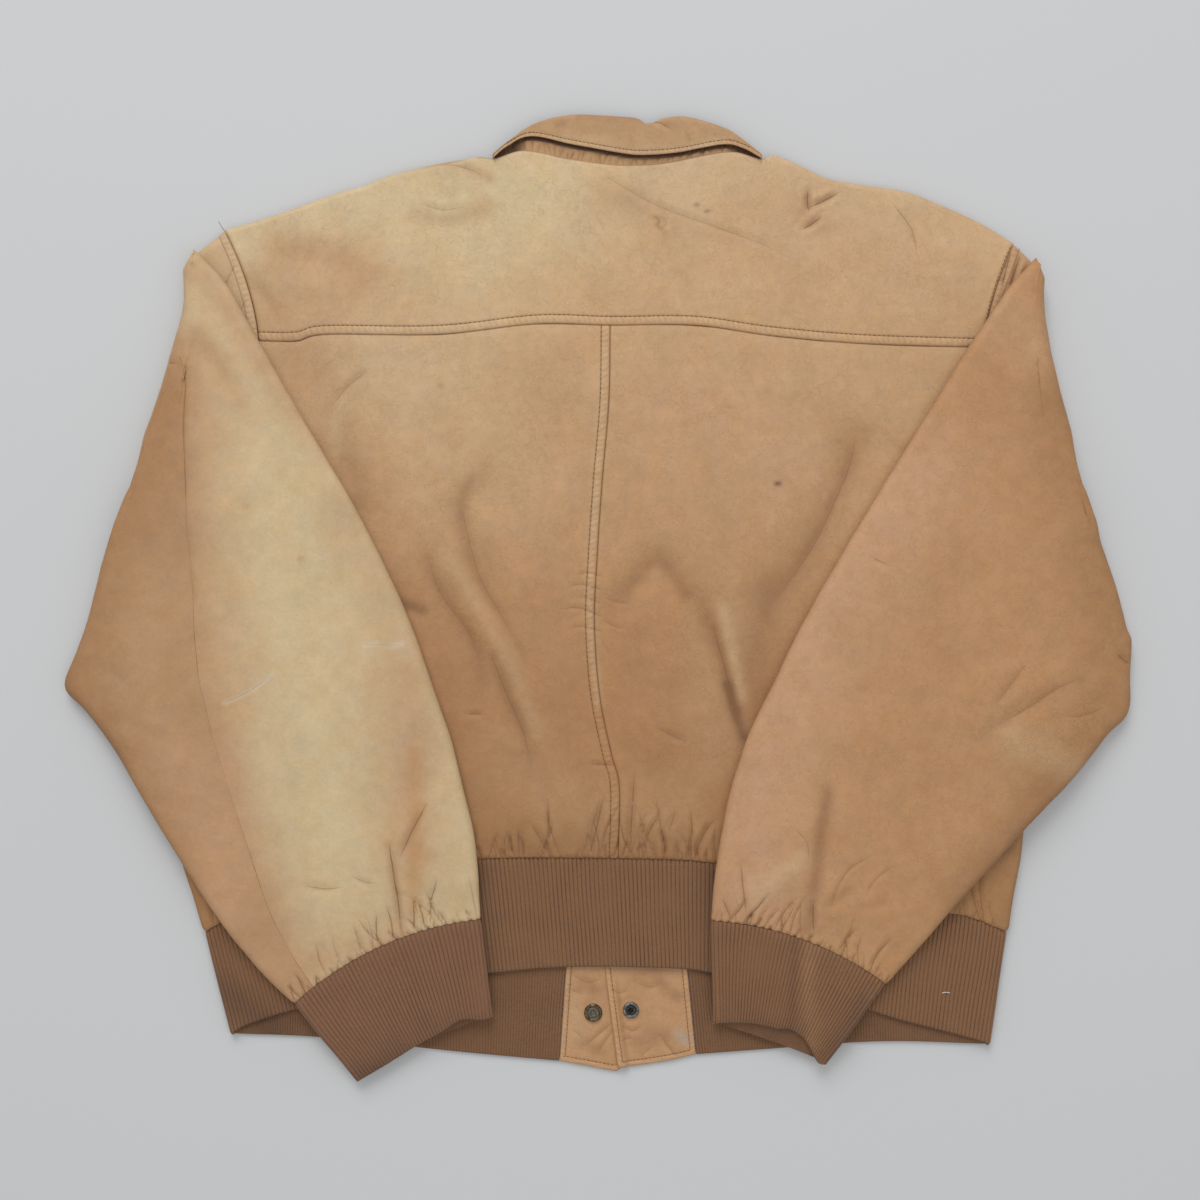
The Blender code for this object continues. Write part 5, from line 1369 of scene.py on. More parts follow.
def make_sleeve(side):
    table = np.array(SLEEVE[side], dtype=float)
    reached = travelled((table[:, :2] + table[:, 2:4]) / 2)
    rows = np.interp(graded(reached[-1], 2.2, start=1.2, end=0.8) * reached[-1],
                     reached, np.arange(len(table)))
    stations = np.concatenate([np.linspace(0, 1, 16)[:-1], np.linspace(1, 2, 15)[:-1], 2 + rows])
    made = []
    for part in ("upper", "under"):
        outer, inner = (np.array([sleeve_ring(side, at, part, depth) for at in stations])
                        for depth in (0.0, LEATHER))
        x, y = outer[..., 0], outer[..., 1]
        face = outward(outer, inner)
        up = np.clip(face[..., 2] * 1.4, 0, 1)
        at = np.broadcast_to(stations[:, None], x.shape)
        on_top = smooth((at - 1.5) / 0.3)
        from_cuff = reached[-1] - np.interp(at - 2, np.arange(len(table)), reached)
        wrist = table[-1]
        travel = unit(wrist[2:4] - wrist[:2])
        along = (x - wrist[0]) * travel[0] + (y - wrist[1]) * travel[1]
        seed = 61 + 10 * (side == "right") + (part == "under")
        cuff_line = bowed(wrist[:2], wrist[2:4], SIGN[side] * wrist[4], np.linspace(0, 1, 60))
        creases = SLEEVE_CREASES[side] + gathers(cuff_line, SIGN[side] * beside(travel), 1.2,
                                                 seed + 2, 4.6, 38.0)
        relief = up * on_top * creased(x, y, creases)
        relief += up * (1 - on_top) * creased(x, y, ROOT_CREASES[side])
        relief += 0.7 * rumple(x + 0.4 * outer[..., 2], y, 60, seed) * on_top
        relief += 0.18 * rumple(x, y + outer[..., 2], 15, seed + 1)
        relief -= (0.8 + 0.6 * np.sin(along)) * np.exp(-(from_cuff / 1.6) ** 2)
        from_hole = SIGN[side] * (x - armhole_x(side, y))
        from_hole = np.maximum(from_hole, 0) + 60 * np.maximum(at - 0.9, 0)
        relief += up * stitched_edge(from_hole, y, seed + 3) * (at < 1.2)
        edge = np.minimum(from_hole, from_cuff + 0.2)
        if side == "left":
            last = -1 if part == "upper" else 0
            away = np.linalg.norm(outer - outer[:, last:][:, :1], axis=-1)
            fade = (1 - smooth((at - 3.6) / 2.0)) * smooth((at - 2.3) / 0.5)
            relief += fade * (-0.7 * np.exp(-(away / 1.6) ** 1.5)
                              + (0.4 * np.exp(-((away - 5) / 5) ** 2) if part == "under" else 0))
            edge = np.minimum(edge, away + 0.35 + 1.2 * (1 - fade))
        relief = relief - 0.6
        base = {"left_upper": tone("#c6ae88"), "left_under": TONES["camel"],
                "right_upper": tone("#b2875e"), "right_under": TONES["camel"]}[f"{side}_{part}"]
        colour = painted(x, y, base, SLEEVE_STROKES[f"{side}_{part}"])
        # The camel stroke on the right root is painted shade in its creases.
        root = painted(x, y, tone("#bfa27e") if side == "left" else tone("#b8926c"),
                       [Stroke("camel", 0.5, 7, [(320, 262), (312, 240), (306, 222)])])
        colour = colour * on_top[..., None] + root * (1 - on_top[..., None])
        offset, shown = crease_lines(x, y, creases)
        root_offset, root_shown = crease_lines(x, y, ROOT_CREASES[side])
        lines = (np.where(on_top > 0.5, offset, root_offset),
                 np.where(on_top > 0.5, shown, root_shown) * (up > 0.3))
        skin = cloth(f"{side}_sleeve_{part}", outer, inner, face, relief, colour,
                     "leather_pale" if side == "left" else "leather", f"sleeve_{side}_{part}",
                     gap=4, edge=edge, maps={"seam": (y, from_hole), "crease": lines},
                     slot="leather_faded" if part == "upper" else "leather")
        made.append(skin[stations < ROOT_END])
    return made


def make_cuff(side):
    cuff, rows = CUFFS[side], SLEEVE[side]
    downs = np.concatenate([[CUFF_GAP / CUFF_LENGTH, 0.03, 0.06], np.linspace(0.11, 0.93, 14),
                            [0.96, 0.98, 0.993, 1]])
    columns = [column[:-1] for column in
               tube_columns([-0.5, 0, 1, 1.5], [126, 254, 126], CUFF_ARC)]
    count = len(columns[0])
    upper = (np.sin(columns[1]) + 1) / 2
    wrist, hem = (np.array(row[:4]).reshape(2, 2) for row in (rows[-1], cuff))
    near_rows = through(rows, [len(rows) - 1.1, len(rows) - 1])[:, :4]
    wrist_out = edges_out(side, (near_rows[1] - near_rows[0]).reshape(2, 2))
    hem_out = edges_out(side, hem - wrist)
    free_edge = path(CUFF_HEM[side])
    skins = []
    for depth in (0.0, RIB):
        rings = []
        for down in downs:
            ways = unit(wrist_out * (1 - down) + hem_out * down)
            half = CUFF / 2 + (rows[-1].height - CUFF) / 2 * (1 - smooth(down * 4))
            bow = SIGN[side] * (rows[-1].bow * (1 - down) + cuff.bow * down)
            xy, share, level = tube_ring(wrist * (1 - down) + hem * down, ways, ways, bow,
                                         columns, half, END_SHAPE * half * np.ones(2), depth)
            straight = bowed(hem[0], hem[1], SIGN[side] * cuff.bow, share)
            xy = xy + (free_edge(share) - straight) * (upper * down ** 1.6)[:, None]
            twist = cuff.twist * smooth((share - cuff.twist_at) / 0.08) * upper * down
            low = support_top(xy[:, 0], xy[:, 1], side, DROOP) + LIFT
            edge = np.clip((down - 0.95) / 0.05, 0, 1)
            closed = 1 - 0.22 * (1 - np.sqrt(1 - 0.98 * edge ** 2))
            rings.append(np.column_stack([xy, low + half + level * closed + twist]))
        skins.append(np.array(rings))
    outer, inner = skins
    x, y = outer[..., 0], outer[..., 1]
    ribs_round = round(count / RIB_STEPS)
    phase = np.arange(count)[None, :] / count * ribs_round + 0.12 * rumple(x, y, 35, 91)
    down = np.broadcast_to(downs[:, None], x.shape)
    relief = RIB_DEPTH * (ribbed(phase) - 1) + 0.3 * rumple(x, y, 28, 93) - 0.3
    relief -= 0.8 * np.exp(-(down * CUFF_LENGTH / 2.4) ** 2)
    base = tone("#79553c") if side == "left" else TONES["rib"]
    relief = relief + creased(x, y, CUFF_CREASES[side])
    cloth(f"{side}_cuff_knit", outer, inner, outward(outer, inner), relief,
          painted(x, y, base, CUFF_STROKES), "rib", f"cuff_{side}", ring=True, gap=2,
          inside=0.5 * (1 - ribbed(phase * INSIDE_RIBS)),
          maps={"weave": (phase, down * CUFF_LENGTH)}, slot="rib")


# ---- tabs and snaps
def make_tab(side):
    left_top, right_top, right_low, left_low = np.array(TAB[side], dtype=float)
    across = graded(TAB_GRID[0], 0.9, 0.3, 0.3)
    down = graded(TAB_GRID[1], 1.0, 0.5, 0.3)[:, None]
    tucked = (-SEAM + (TAB_LAP + SEAM) * smooth((down - 0.35) / 0.3) if side == "left"
              else 0 * down)
    start = left_top + (left_low - left_top) * down
    end = right_top + (right_low - right_top) * down + np.hstack([tucked, 0 * down])
    xy = start[:, None] + (end - start)[:, None] * across[:, None]
    dip = (across * (1 - smooth((across - 0.88) / 0.12)) if side == "left"
           else np.sin(np.pi * across))
    xy[..., 1] -= SEAM * (1 - down) + TAB_DIP[side] * down ** 4 * dip
    lift = np.zeros(xy.shape[:2])
    if side == "right":
        beside_left = 1 - smooth((across * TAB_WIDTH - TAB_LAP - 1.0) / 5.0)
        lift += (TAB_WALL + SEAM) * beside_left * smooth((down - 0.17) / 0.16)
    top = np.dstack([xy, TAB_WALL + lift])
    x, y = xy[..., 0], xy[..., 1]
    wide = np.linalg.norm(end - start, axis=-1)[:, None]
    edges = [(1 - down) * TAB_HEIGHT + 0 * across, across * wide]
    if side == "right":
        edges.append((1 - across) * wide)
    from_edge = np.min(edges, axis=0)
    creases = TAB_CREASES[side]
    relief = -0.5 * smooth((from_edge - 3.0) / 1.4) + creased(x, y, creases)
    relief -= 0.35 * np.exp(-((from_edge - TAB_STITCH) / 0.8) ** 2)
    relief -= 1.0 * (1 - np.clip(from_edge / 1.3, 0, 1)) ** 2
    snap = SNAP_AT[side]
    ring = np.hypot(x - snap.x, y - snap.y)
    relief -= 0.4 * np.exp(-((ring - 8.5) / 2.2) ** 2)
    relief += 0.25 * rumple(x, y, 14, 101) + 0.1 * rumple(x, y, 5, 102) - 0.2
    colour = painted(x, y, tone("#b78d66"), TAB_STROKES)
    border = np.exp(-((from_edge - 1.6) / 1.6) ** 2)[..., None] * 0.12
    colour = colour * (1 - border) + TONES["sand"] * border
    return cloth(f"{side}_tab_leather", top, top - np.array([0, 0, TAB_WALL]),
                 np.broadcast_to([0.0, 0.0, 1.0], top.shape), np.minimum(relief, 0.2), colour,
                 "leather", f"tab_{side}", gap=4, inside=0 * x, slot="leather_light",
                 maps={"seam": (y, from_edge * TOPSTITCH / TAB_STITCH),
                       "crease": crease_lines(x, y, creases)})


def through_rings(name, rings):
    """A mesh through rings of points; a ring of one point closes an end."""
    around, faces = max(len(ring) for ring in rings), []
    first = np.cumsum([0] + [len(ring) for ring in rings]).tolist()
    for k, (low, high) in enumerate(zip(rings, rings[1:])):
        for i in range(around):
            j = (i + 1) % around
            corners = [first[k] + i % len(low), first[k] + j % len(low),
                       first[k + 1] + j % len(high), first[k + 1] + i % len(high)]
            faces.append(list(dict.fromkeys(corners)))
    for k in (0, len(rings) - 1):
        if len(rings[k]) > 1:
            faces.append(list(range(first[k], first[k + 1])))
    mesh = bpy.data.meshes.new(name)
    mesh.from_pydata((np.vstack(rings) * MM).tolist(), [], faces)
    return mesh


def make_snap(side):
    """A snap seen from inside: ring, rolled rim and dished middle, turned about its axis."""
    rim, top, segments = SNAP_RADIUS[side], TAB_WALL - SNAP_SUNK, 56
    profile = [(0, 0.6), (rim - 0.6, 0.6), (rim, top), (rim + 0.1, top + 0.5),
               (rim - 0.15, top + 1.0), (rim - 0.7, top + 1.35), (rim - 1.3, top + 1.45),
               (0.70 * rim, top + 1.2), (0.64 * rim, top + 0.8), (0.62 * rim, top + 0.5)]
    if side == "left":
        profile += [(0.5 * rim, top + 0.45), (0.42 * rim, top + 0.75), (0.34 * rim, top + 0.75),
                    (0.29 * rim, top + 0.4), (0.26 * rim, top + 0.05), (0, top)]
    else:
        profile += [(0.55 * rim, top + 0.5), (0.52 * rim, top + 1.2), (0.44 * rim, top + 1.5),
                    (0.36 * rim, top + 1.4), (0.31 * rim, top + 0.9), (0.29 * rim, top + 0.05),
                    (0, top)]
    angles = np.linspace(0, 2 * np.pi, segments, endpoint=False)
    centre = SNAP_AT[side]
    mesh = through_rings(f"{side}_snap_metal", [
        [(centre.x + radius * np.cos(a), centre.y + radius * np.sin(a), height)
         for a in (angles if radius else angles[:1])] for radius, height in profile])
    rows = np.repeat(np.arange(len(profile) - 1), segments)
    mesh.polygons.foreach_set("material_index", np.where(
        rows < RIM_ROWS, 0, np.where(rows < len(profile) - 3, 1, 2)).astype(np.int32))
    # The right snap's centre hole is near-black: painted shade in the recess.
    worn = ["bronze", "dish", "dish"] if side == "left" else ["gunmetal", "dark_steel", "hole_painted_shade"]
    finished(f"{side}_snap_metal", mesh, worn, f"snap_{side}")
    "brass" if side == "left" else "steel"


# ---- stitches
def laid_on(skins, points, above=0.1):
    """Points of a line in the floor's plane, set on the nearest part of some skins."""
    points = np.asarray(points, dtype=float)
    spots = np.vstack([skin.reshape(-1, 3) for skin in skins])
    low, high = points.min(axis=0) - 6, points.max(axis=0) + 6
    spots = spots[((spots[:, :2] > low) & (spots[:, :2] < high)).all(axis=1)]
    heights = []
    for point in points:
        away = ((spots[:, :2] - point) ** 2).sum(axis=1)
        nearest = np.argpartition(away, 4)[:4]
        weight = 1 / (away[nearest] + 0.05)
        heights.append((spots[nearest, 2] * weight).sum() / weight.sum())
    return np.column_stack([points, np.array(heights) + above])


def feed(tree, slot, value):
    """Sets a node's input to a number or a colour, or links it to another node's output."""
    value = getattr(value, "socket", value)
    if isinstance(value, bpy.types.NodeSocket):
        tree.links.new(value, slot)
    else:
        slot.default_value = (*value, 1.0) if slot.type == "RGBA" else value


def add_node(tree, kind, settings=None, inputs=None):
    """Adds a node: its type, its settings, then its inputs by name or number."""
    made = tree.nodes.new(kind)
    for key, value in (settings or {}).items():
        setattr(made, key, value)
    for key, value in (inputs or {}).items():
        feed(tree, made.inputs[key], value)
    return made


def stitch_tree():
    """Nodes that lay one thread bead every pitch along the edges of a mesh."""
    tree = bpy.data.node_groups.new("stitches", "GeometryNodeTree")
    sizes = {}
    tree.interface.new_socket("Lines", in_out="INPUT", socket_type="NodeSocketGeometry")
    for name in ("Pitch", "Length"):
        socket = tree.interface.new_socket(name, in_out="INPUT", socket_type="NodeSocketFloat")
        sizes[name] = socket.identifier
    tree.interface.new_socket("Stitches", in_out="OUTPUT", socket_type="NodeSocketGeometry")

    def node(kind, settings=None, **inputs):
        return add_node(tree, kind, settings, inputs)

    given = node("NodeGroupInput").outputs
    curve = node("GeometryNodeMeshToCurve", Mesh=given["Lines"])
    spaced = node("GeometryNodeResampleCurve", {"mode": "LENGTH"}, Curve=curve.outputs[0],
                  Length=given["Pitch"])
    bead = node("GeometryNodeMeshUVSphere", Segments=6, Rings=4, Radius=0.5)
    scale = node("ShaderNodeCombineXYZ", X=2 * THREAD * MM, Y=2 * THREAD * MM, Z=given["Length"])
    lean = node("FunctionNodeRandomValue", {"data_type": "FLOAT"})
    for socket, value in zip([s for s in lean.inputs if s.name in ("Min", "Max")
                              and s.type == "VALUE"], STITCH_SIZES):
        socket.default_value = value
    sized = add_node(tree, "ShaderNodeVectorMath", {"operation": "SCALE"}, {
        0: scale.outputs[0], "Scale": [s for s in lean.outputs if s.type == "VALUE"][0]})
    along = node("FunctionNodeAlignRotationToVector", {"axis": "Z"},
                 Vector=node("GeometryNodeInputTangent").outputs[0])
    put = node("GeometryNodeInstanceOnPoints", Points=spaced.outputs[0], Instance=bead.outputs[0],
               Rotation=along.outputs[0], Scale=sized.outputs[0])
    real = node("GeometryNodeRealizeInstances", Geometry=put.outputs[0])
    worn = node("GeometryNodeSetMaterial", Geometry=real.outputs[0], Material=materials["thread"])
    add_node(tree, "NodeGroupOutput", None, {0: worn.outputs[0]})
    return tree, sizes


def make_stitches(name, lines, pitch):
    """A row of stitches along each line of points."""
    points, edges = [], []
    for line in lines:
        first = len(points)
        points += [tuple(point) for point in np.asarray(line) * MM]
        edges += [(k, k + 1) for k in range(first, len(points) - 1)]
    guide = bpy.data.meshes.new(name)
    guide.from_pydata(points, edges, [])
    piece = placed(name, guide)
    tree, sizes = stitching
    modifier = piece.modifiers.new("stitches", "NODES")
    modifier.node_group = tree
    modifier[sizes["Pitch"]] = pitch * MM
    modifier[sizes["Length"]] = STITCH_LENGTH / STITCH_PITCH * pitch * MM
    clear_of_painted_shadow = piece.evaluated_get(bpy.context.evaluated_depsgraph_get())
    mesh = bpy.data.meshes.new_from_object(clear_of_painted_shadow)
    piece.modifiers.clear()
    piece.data = mesh
    bpy.data.meshes.remove(guide)
    mesh.name = name
    mesh.polygons.foreach_set("use_smooth", [True] * len(mesh.polygons))
    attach(piece, "root")
    return piece


def sew():
    """Every visible row of stitches, on the pieces that it goes through."""
    yoke = skins["yoke"]
    steps = np.linspace(0, 1, 260)
    seam = YOKE_CURVE(steps)
    rows = {"yoke_stitches": ([yoke], [seam + [0, TOPSTITCH]], STITCH_PITCH)}
    middle = BACK_CURVE(np.linspace(0.004, 0.997, 200))
    rows["centre_back_stitches"] = ([skins["back_left"]], [middle - [TOPSTITCH, 0]], STITCH_PITCH)
    for side in SIGN:
        hole = armhole(side, np.linspace(0.02, YOKE_AT[side], 60))
        out = np.array([SIGN[side] * TOPSTITCH, 0])
        rows[f"{side}_root_stitches"] = ([skins[f"upper_{side}"], skins[f"under_{side}"]],
                                         [hole + out], SMALL_PITCH)
    hole = armhole("right", np.linspace(0.02, YOKE_AT["right"], 60))
    rows["right_armhole_stitches"] = ([yoke], [hole - [ROOT_GAP + 1.0, 0]], SMALL_PITCH)
    back_columns = skins["leaf"][:, -1, 2] > sum(LEAF_LEVELS) / 2
    leaf = np.array(LEAF["back"])
    line = path(leaf[:, 2:] + unit(leaf[:, :2] - leaf[:, 2:]) * LEAF_STITCH)
    rows["collar_stitches"] = ([skins["leaf"][back_columns]], [line(np.linspace(0.05, 0.95, 160))],
                               FINE_PITCH)
    for side in SIGN:
        left_top, right_top, right_low, left_low = np.array(TAB[side], dtype=float)
        shares = np.linspace(0.08, 0.9, 40)[:, None]
        dip = shares if side == "left" else np.sin(np.pi * shares)
        low = (left_low + (right_low - left_low) * shares
               + (TAB_STITCH - TAB_DIP[side] * 0.8 * dip) * np.array([0, 1]))
        down = np.linspace(0.03, 0.93, 50)[:, None]
        lines = [left_top + (left_low - left_top) * down + [TAB_STITCH, 0], low]
        if side == "right":
            lines.append(right_top + (right_low - right_top) * down - [TAB_STITCH, 0])
        rows[f"{side}_tab_stitches"] = ([skins[f"tab_{side}"]], lines, FINE_PITCH)
    return [make_stitches(name, [laid_on(sewn, line) for line in lines], pitch)
            for name, (sewn, lines, pitch) in rows.items()]


def make_fibre(name, line, radius, material):
    """A single fine fibre that follows a line of points."""
    centre = even(line, 6 * len(line))
    around = np.linspace(0, 2 * np.pi, 6, endpoint=False)
    tangent = unit(np.gradient(centre, axis=0))
    side_way = unit(np.cross(tangent, [0, 0, 1.0]))
    other = np.cross(tangent, side_way)
    rings = [[c + radius * (np.cos(a) * s + np.sin(a) * o) for a in around]
             for c, s, o in zip(centre, side_way, other)]
    return finished(name, through_rings(name, rings), [material])


# ---- materials
class Shade:
    """A socket in a material's nodes, with plain arithmetic."""

    def __init__(self, tree, socket):
        self.tree, self.socket = tree, socket

    def math(self, operation, *values):
        made = add_node(self.tree, "ShaderNodeMath", {"operation": operation},
                        dict(enumerate(values)))
        return Shade(self.tree, made.outputs[0])

    def __add__(self, other):
        return self.math("ADD", self, other)

    def __sub__(self, other):
        return self.math("SUBTRACT", self, other)

    def __rsub__(self, other):
        return self.math("SUBTRACT", other, self)

    def __mul__(self, other):
        return self.math("MULTIPLY", self, other)

    def __truediv__(self, other):
        return self.math("DIVIDE", self, other)

    __radd__ = __add__
    __rmul__ = __mul__

    def between(self, low, high):
        """0 at low and below, 1 at high and above."""
        return ((self - low) / (high - low)).clamped()

    def clamped(self):
        low = self.math("MAXIMUM", self, 0.0)
        return low.math("MINIMUM", low, 1.0)

    def sine(self):
        return self.math("SINE", self)

    def fraction(self):
        return self.math("FRACT", self)

    def size(self):
        return self.math("ABSOLUTE", self)

    def power(self, exponent):
        return self.math("POWER", self, exponent)


class Material:
    """One material: its surface and the nodes that feed it."""

    def __init__(self, name, roughness=0.6, metallic=0.0):
        self.material = bpy.data.materials.new(name)
        self.material.use_nodes = True
        self.tree = self.material.node_tree
        self.surface = self.tree.nodes["Principled BSDF"]
        self.surface.inputs["Roughness"].default_value = roughness
        self.surface.inputs["Metallic"].default_value = metallic

    def node(self, kind, output=0, settings=None, inputs=None):
        """One output of a new node."""
        return Shade(self.tree, add_node(self.tree, kind, settings, inputs).outputs[output])

    def place(self):
        return self.node("ShaderNodeTexCoord", "Object")

    def attribute(self, name, output):
        return self.node("ShaderNodeAttribute", output, {"attribute_name": name})

    def pair(self, name):
        """The two numbers of one of the piece's maps."""
        parts = add_node(self.tree, "ShaderNodeSeparateXYZ", None,
                         {0: self.node("ShaderNodeUVMap", 0, {"uv_map": name})})
        return [Shade(self.tree, parts.outputs[k]) for k in (0, 1)]

    def noise(self, size, detail=3.0, where=None, roughness=0.55):
        """Noise about 0..1 whose features are `size` millimetres across."""
        return self.node("ShaderNodeTexNoise", 0, None, {
            "Vector": where or self.place(), "Scale": 1 / (size * MM), "Detail": detail,
            "Roughness": roughness})

    def cells(self, size, feature, where=None):
        """Voronoi distance in cells of `size` millimetres."""
        return self.node("ShaderNodeTexVoronoi", "Distance", {"feature": feature}, {
            "Vector": where or self.place(), "Scale": 1 / (size * MM)})

    def mixed(self, first, second, amount):
        """A colour between two; either may be three numbers."""
        made = add_node(self.tree, "ShaderNodeMix", {"data_type": "RGBA", "clamp_factor": True},
                        {0: amount})
        for slot, value in zip([s for s in made.inputs if s.type == "RGBA"], (first, second)):
            feed(self.tree, slot, value)
        return Shade(self.tree, [s for s in made.outputs if s.type == "RGBA"][0])

    def tinted(self, colour, tint):
        """A colour seen through another."""
        return self.node("ShaderNodeVectorMath", 0, {"operation": "MULTIPLY"},
                         {0: colour, 1: tint})

    def scaled(self, colour, amount):
        """A colour made lighter or darker by a number."""
        return self.node("ShaderNodeVectorMath", 0, {"operation": "SCALE"},
                         {0: colour, "Scale": amount})

    def finish(self, colour, roughness=None, height=None, distance=0.2, strength=1.0):
        feeds = [("Base Color", colour), ("Roughness", roughness)]
        if height is not None:
            feeds.append(("Normal", self.node("ShaderNodeBump", 0, None, {
                "Height": height, "Strength": strength, "Distance": distance * MM})))
        for name, value in feeds:
            if value is not None:
                feed(self.tree, self.surface.inputs[name], value)
        return self.material


def leather(name, crackle):
    """Worn sheepskin: mottled dye, fine pebbled grain and brown seams, with painted shade in its
    creases and valleys and painted highlights on its ridges.
    """
    skin = Material(name)
    skin.surface.inputs["Specular IOR Level"].default_value = 0.35
    place = skin.place()
    relief, edge = (skin.attribute(key, "Fac") for key in ("relief", "edge"))
    (along, away), (offset, shown) = skin.pair("seam"), skin.pair("crease")
    clouds, blots = skin.noise(34, 4, place), skin.noise(9, 4, place)
    flecks, warm = skin.noise(2.4, 3, place), skin.noise(19, 4, place).between(0.42, 0.66)
    shade = 0.575 + 0.24 * clouds + 0.24 * blots + 0.18 * flecks
    grain = skin.cells(1.3, "F1", place)
    crazed = skin.cells(4.2, "DISTANCE_TO_EDGE", skin.node(
        "ShaderNodeVectorMath", 0, {"operation": "ADD"},
        {0: place, 1: skin.scaled(skin.node("ShaderNodeTexNoise", "Color", None, {
            "Vector": place, "Scale": 260.0, "Detail": 2.0}), 0.0045)}))
    where = skin.noise(46, 3, place).between(0.50, 0.66)
    wisps = 1.0 - (skin.noise(16, 6, place, 0.62) - 0.5).size().between(0.0, 0.016)
    elbow = 1.0 - skin.node("ShaderNodeVectorMath", "Value", {"operation": "DISTANCE"},
                            {0: place, 1: ELBOW}).between(0.016, 0.056)
    elbow = elbow * skin.noise(12, 3, place).between(0.36, 0.56)
    lines = ((1.0 - crazed.between(0.0, 0.07)) * (0.5 * where + 0.75 * elbow)
             + wisps * blots) * crackle
    ditch = 1.0 - edge.between(0.2, 0.9 + 0.3 * blots)
    row = 1.0 - (away - TOPSTITCH).size().between(0.25, 0.75)
    band = away.between(0.6, 1.6) * (1.0 - away.between(TOPSTITCH - 1.2, TOPSTITCH - 0.2))
    slant = ((along + away * 0.25) * (FULL_TURN / PUCKER) + 9.0 * skin.noise(26, 2, place)).sine()
    puckers = band * (slant * 0.5 + 0.5).power(2.0)
    crease = (1.0 - (offset + 1.2 * (blots - 0.5)).size().between(0.1, 0.65)) * shown
    deep = (relief * -0.45 - 0.05).clamped()
    # Mottled dye, with the puffed band beside a stitched seam painted lighter and its puckers
    # darker: painted highlight and painted shade.
    colour = skin.scaled(skin.attribute("tone", "Color"),
                         shade + 0.05 * band - 0.10 * puckers)
    colour = skin.mixed(colour, skin.tinted(colour, (1.0, 0.955, 0.87)), warm * 0.8)
    # Relief valleys darkened as painted shade; the crackle lines browned.
    colour = skin.mixed(colour, SEAM_AND_SHADE_BROWN, deep * 0.45 + 0.30 * lines)
    # Seams and stitch rows turn brown; fine creases get a line of painted shade.
    colour = skin.mixed(colour, SEAM_AND_SHADE_BROWN,
                        ditch.math("MAXIMUM", 0.6 * ditch, 0.5 * row) + 0.9 * crease)
    # Ridges of the relief lightened: a painted highlight.
    colour = skin.mixed(colour, skin.scaled(colour, 1.12), (relief * 0.6).clamped() * 0.5)
    height = (0.5 * grain + 0.5 * blots + 0.25 * flecks - 0.6 * lines
              - 1.2 * crease - 0.9 * puckers)
    rough = 0.66 - 0.12 * clouds + 0.12 * flecks
    return skin.finish(colour, rough, height, distance=0.35, strength=0.5)


def rib_knit():
    """Worn rib knit: rows of small loops along each rib, and thin valleys darkened as painted
    shade.
    """
    knit = Material("rib", 0.9)
    across, along = knit.pair("weave")
    slant = (across.fraction() - 0.5).size()
    loops = ((along / 1.5 - slant * 1.2) * FULL_TURN).sine()
    place = knit.place()
    fuzz, specks = knit.noise(0.9, 3, place), knit.noise(1.7, 3, place)
    blots, patches = knit.noise(16, 4, place), knit.noise(38, 2, place).between(0.3, 0.7)
    valley = slant.between(0.5 - 0.55 / RIB_PITCH, 0.5 - 0.12 / RIB_PITCH)
    # The valleys, and the loops' rise and fall, are painted darker and lighter: painted shade on
    # the knit's relief; fuzz, specks and blots are its own colour.
    shade = (0.56 + 0.09 * loops + 0.40 * fuzz + 0.42 * specks + 0.18 * blots
             - valley * (0.30 + 0.34 * patches))
    colour = knit.scaled(knit.attribute("tone", "Color"), shade)
    height = 0.5 * loops + 0.6 * fuzz + 0.4 * specks
    knit.surface.inputs["Sheen Weight"].default_value = 0.1
    return knit.finish(colour, None, height, distance=0.35, strength=0.7)


def metal(name, colour, worn_colour, roughness):
    """Tarnished metal, worn brighter in spots."""
    made = Material(name, roughness, 0.9)
    spots = made.noise(1.6, 4)
    return made.finish(made.mixed(tone(colour), tone(worn_colour), spots.between(0.45, 0.68)),
                       roughness + 0.25 * (spots - 0.4), made.noise(0.5, 3), distance=0.06)


def make_materials():
    made = {"leather": leather("leather", 1.0), "leather_pale": leather("leather_pale", 0.35),
            "rib": rib_knit()}
    for name, *look in (("bronze", "#463c2f", "#7d705a", 0.4),
                        ("dish", "#5f584c", "#857c6d", 0.55),
                        ("gunmetal", "#5b5a57", "#98958e", 0.5),
                        ("dark_steel", "#34322f", "#686560", 0.55)):
        made[name] = metal(name, *look)
    # The near-black one is painted shade for the snap's hole.
    for name, code in (("hole_painted_shade", "#17130f"), ("lint", "#d9d5cc"), ("floor", FLOOR_TONE)):
        made[name] = Material(name, 0.9).finish(tone(code))
    thread = Material("thread", 0.85)
    made["thread"] = thread.finish(thread.mixed(tone("#83603f"), tone("#64452b"),
                                                thread.noise(3.0, 2).between(0.35, 0.65)))
    tape = Material("zip_tape", 0.85)
    made["tape"] = tape.finish(tape.mixed(tone("#4f3d2e"), tone("#66503c"), tape.noise(2.0, 3)),
                               None, tape.noise(0.8, 2), distance=0.15)
    return made


# ---- stage
FLOOR_TONE = "#c0c1c2"
FLOOR_HALF, FLOOR_LEVEL = 3.0, -0.0004       # metres
CAMERA_AT, LENS, SENSOR = (0.0012, -0.0019, 1.25), 48.7, 36.0
SKY = 0.55


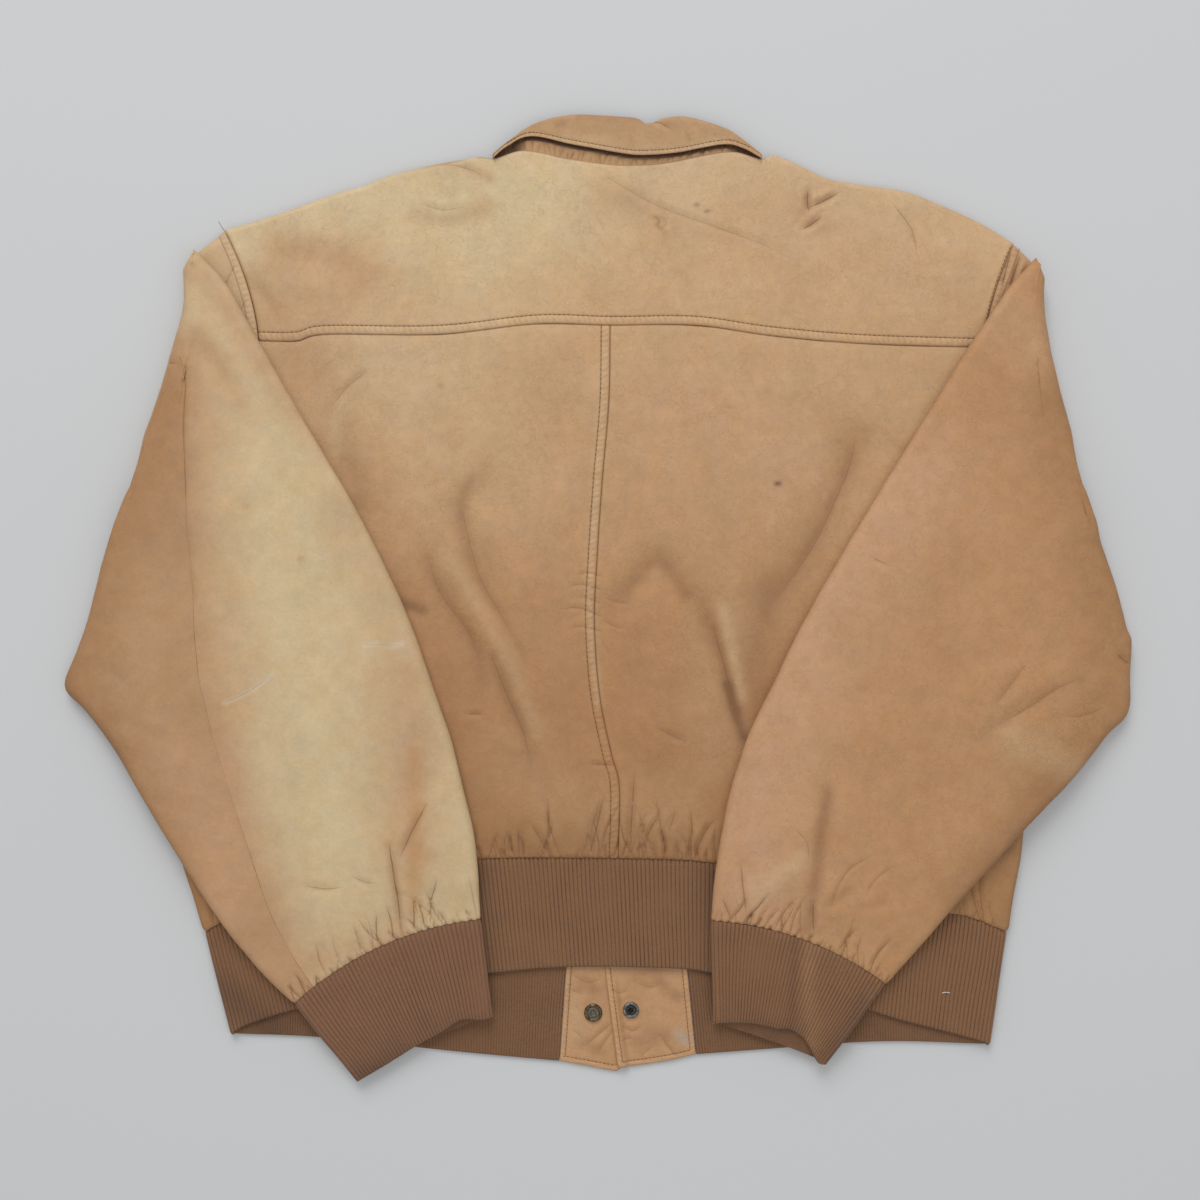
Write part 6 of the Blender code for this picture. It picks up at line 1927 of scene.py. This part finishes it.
def make_stage():
    """A pale floor, a large soft lamp beyond the collar, even light all round, and the camera."""
    scene = bpy.context.scene
    mesh = bpy.data.meshes.new("floor")
    mesh.from_pydata([(x * FLOOR_HALF, y * FLOOR_HALF, FLOOR_LEVEL)
                      for x, y in ((-1, -1), (1, -1), (1, 1), (-1, 1))], [], [(0, 1, 2, 3)])
    mesh.materials.append(materials["floor"])
    floor = placed("floor", mesh)
    for name, place, size, power in (("window", (-0.6, 3.2, 2.7), 2.4, 107.0),
                                     ("fill", (0.3, -0.6, 2.4), 2.6, 14.0)):
        lamp = bpy.data.lights.new(name, "AREA")
        lamp.size, lamp.energy = size, power
        holder = placed(name, lamp)
        holder.location = place
        holder.rotation_euler = (-Vector(place)).to_track_quat("-Z", "Y").to_euler()
    world = scene.world or bpy.data.worlds.new("world")
    scene.world = world
    world.use_nodes = True
    sky = world.node_tree.nodes["Background"]
    sky.inputs["Color"].default_value = (1.0, 1.0, 1.0, 1.0)
    sky.inputs["Strength"].default_value = SKY
    lens = bpy.data.cameras.new("overhead")
    lens.lens, lens.sensor_width = LENS, SENSOR
    camera = placed("overhead", lens)
    camera.location = CAMERA_AT
    scene.camera = camera
    scene.view_settings.view_transform = "Standard"


# ---- cloth as cut
Cut = namedtuple("Cut", "width length area held lies_on")

# ---- run
materials = make_materials()
stitching = stitch_tree()
skins = {}
for side in SIGN:
    skins[f"back_{side}"] = make_back(side)
    make_front(side)
    skins[f"upper_{side}"], skins[f"under_{side}"] = make_sleeve(side)
    make_cuff(side)
    skins[f"tab_{side}"] = make_tab(side)
    make_snap(side)
skins["yoke"] = make_yoke()
make_waistband()
skins["leaf"], _ = make_collar()
front_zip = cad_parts["front_zip"]
front_zip.data.materials.clear()
front_zip.data.materials.append(materials["tape"])
thread = sew()
thread.append(make_fibre("loose_thread", [(-284.5, 279, 11.6), (-286.2, 281, 13.6),
                                          (-288.0, 284.0, 13.0), (-290.0, 287.0, 11.0)],
                         0.2, "thread"))
make_fibre("lint", [(263, -302.6, 8.0), (265, -302.0, 8.3), (269, -302.4, 8.0)],
                   0.25, "lint")
make_stage()
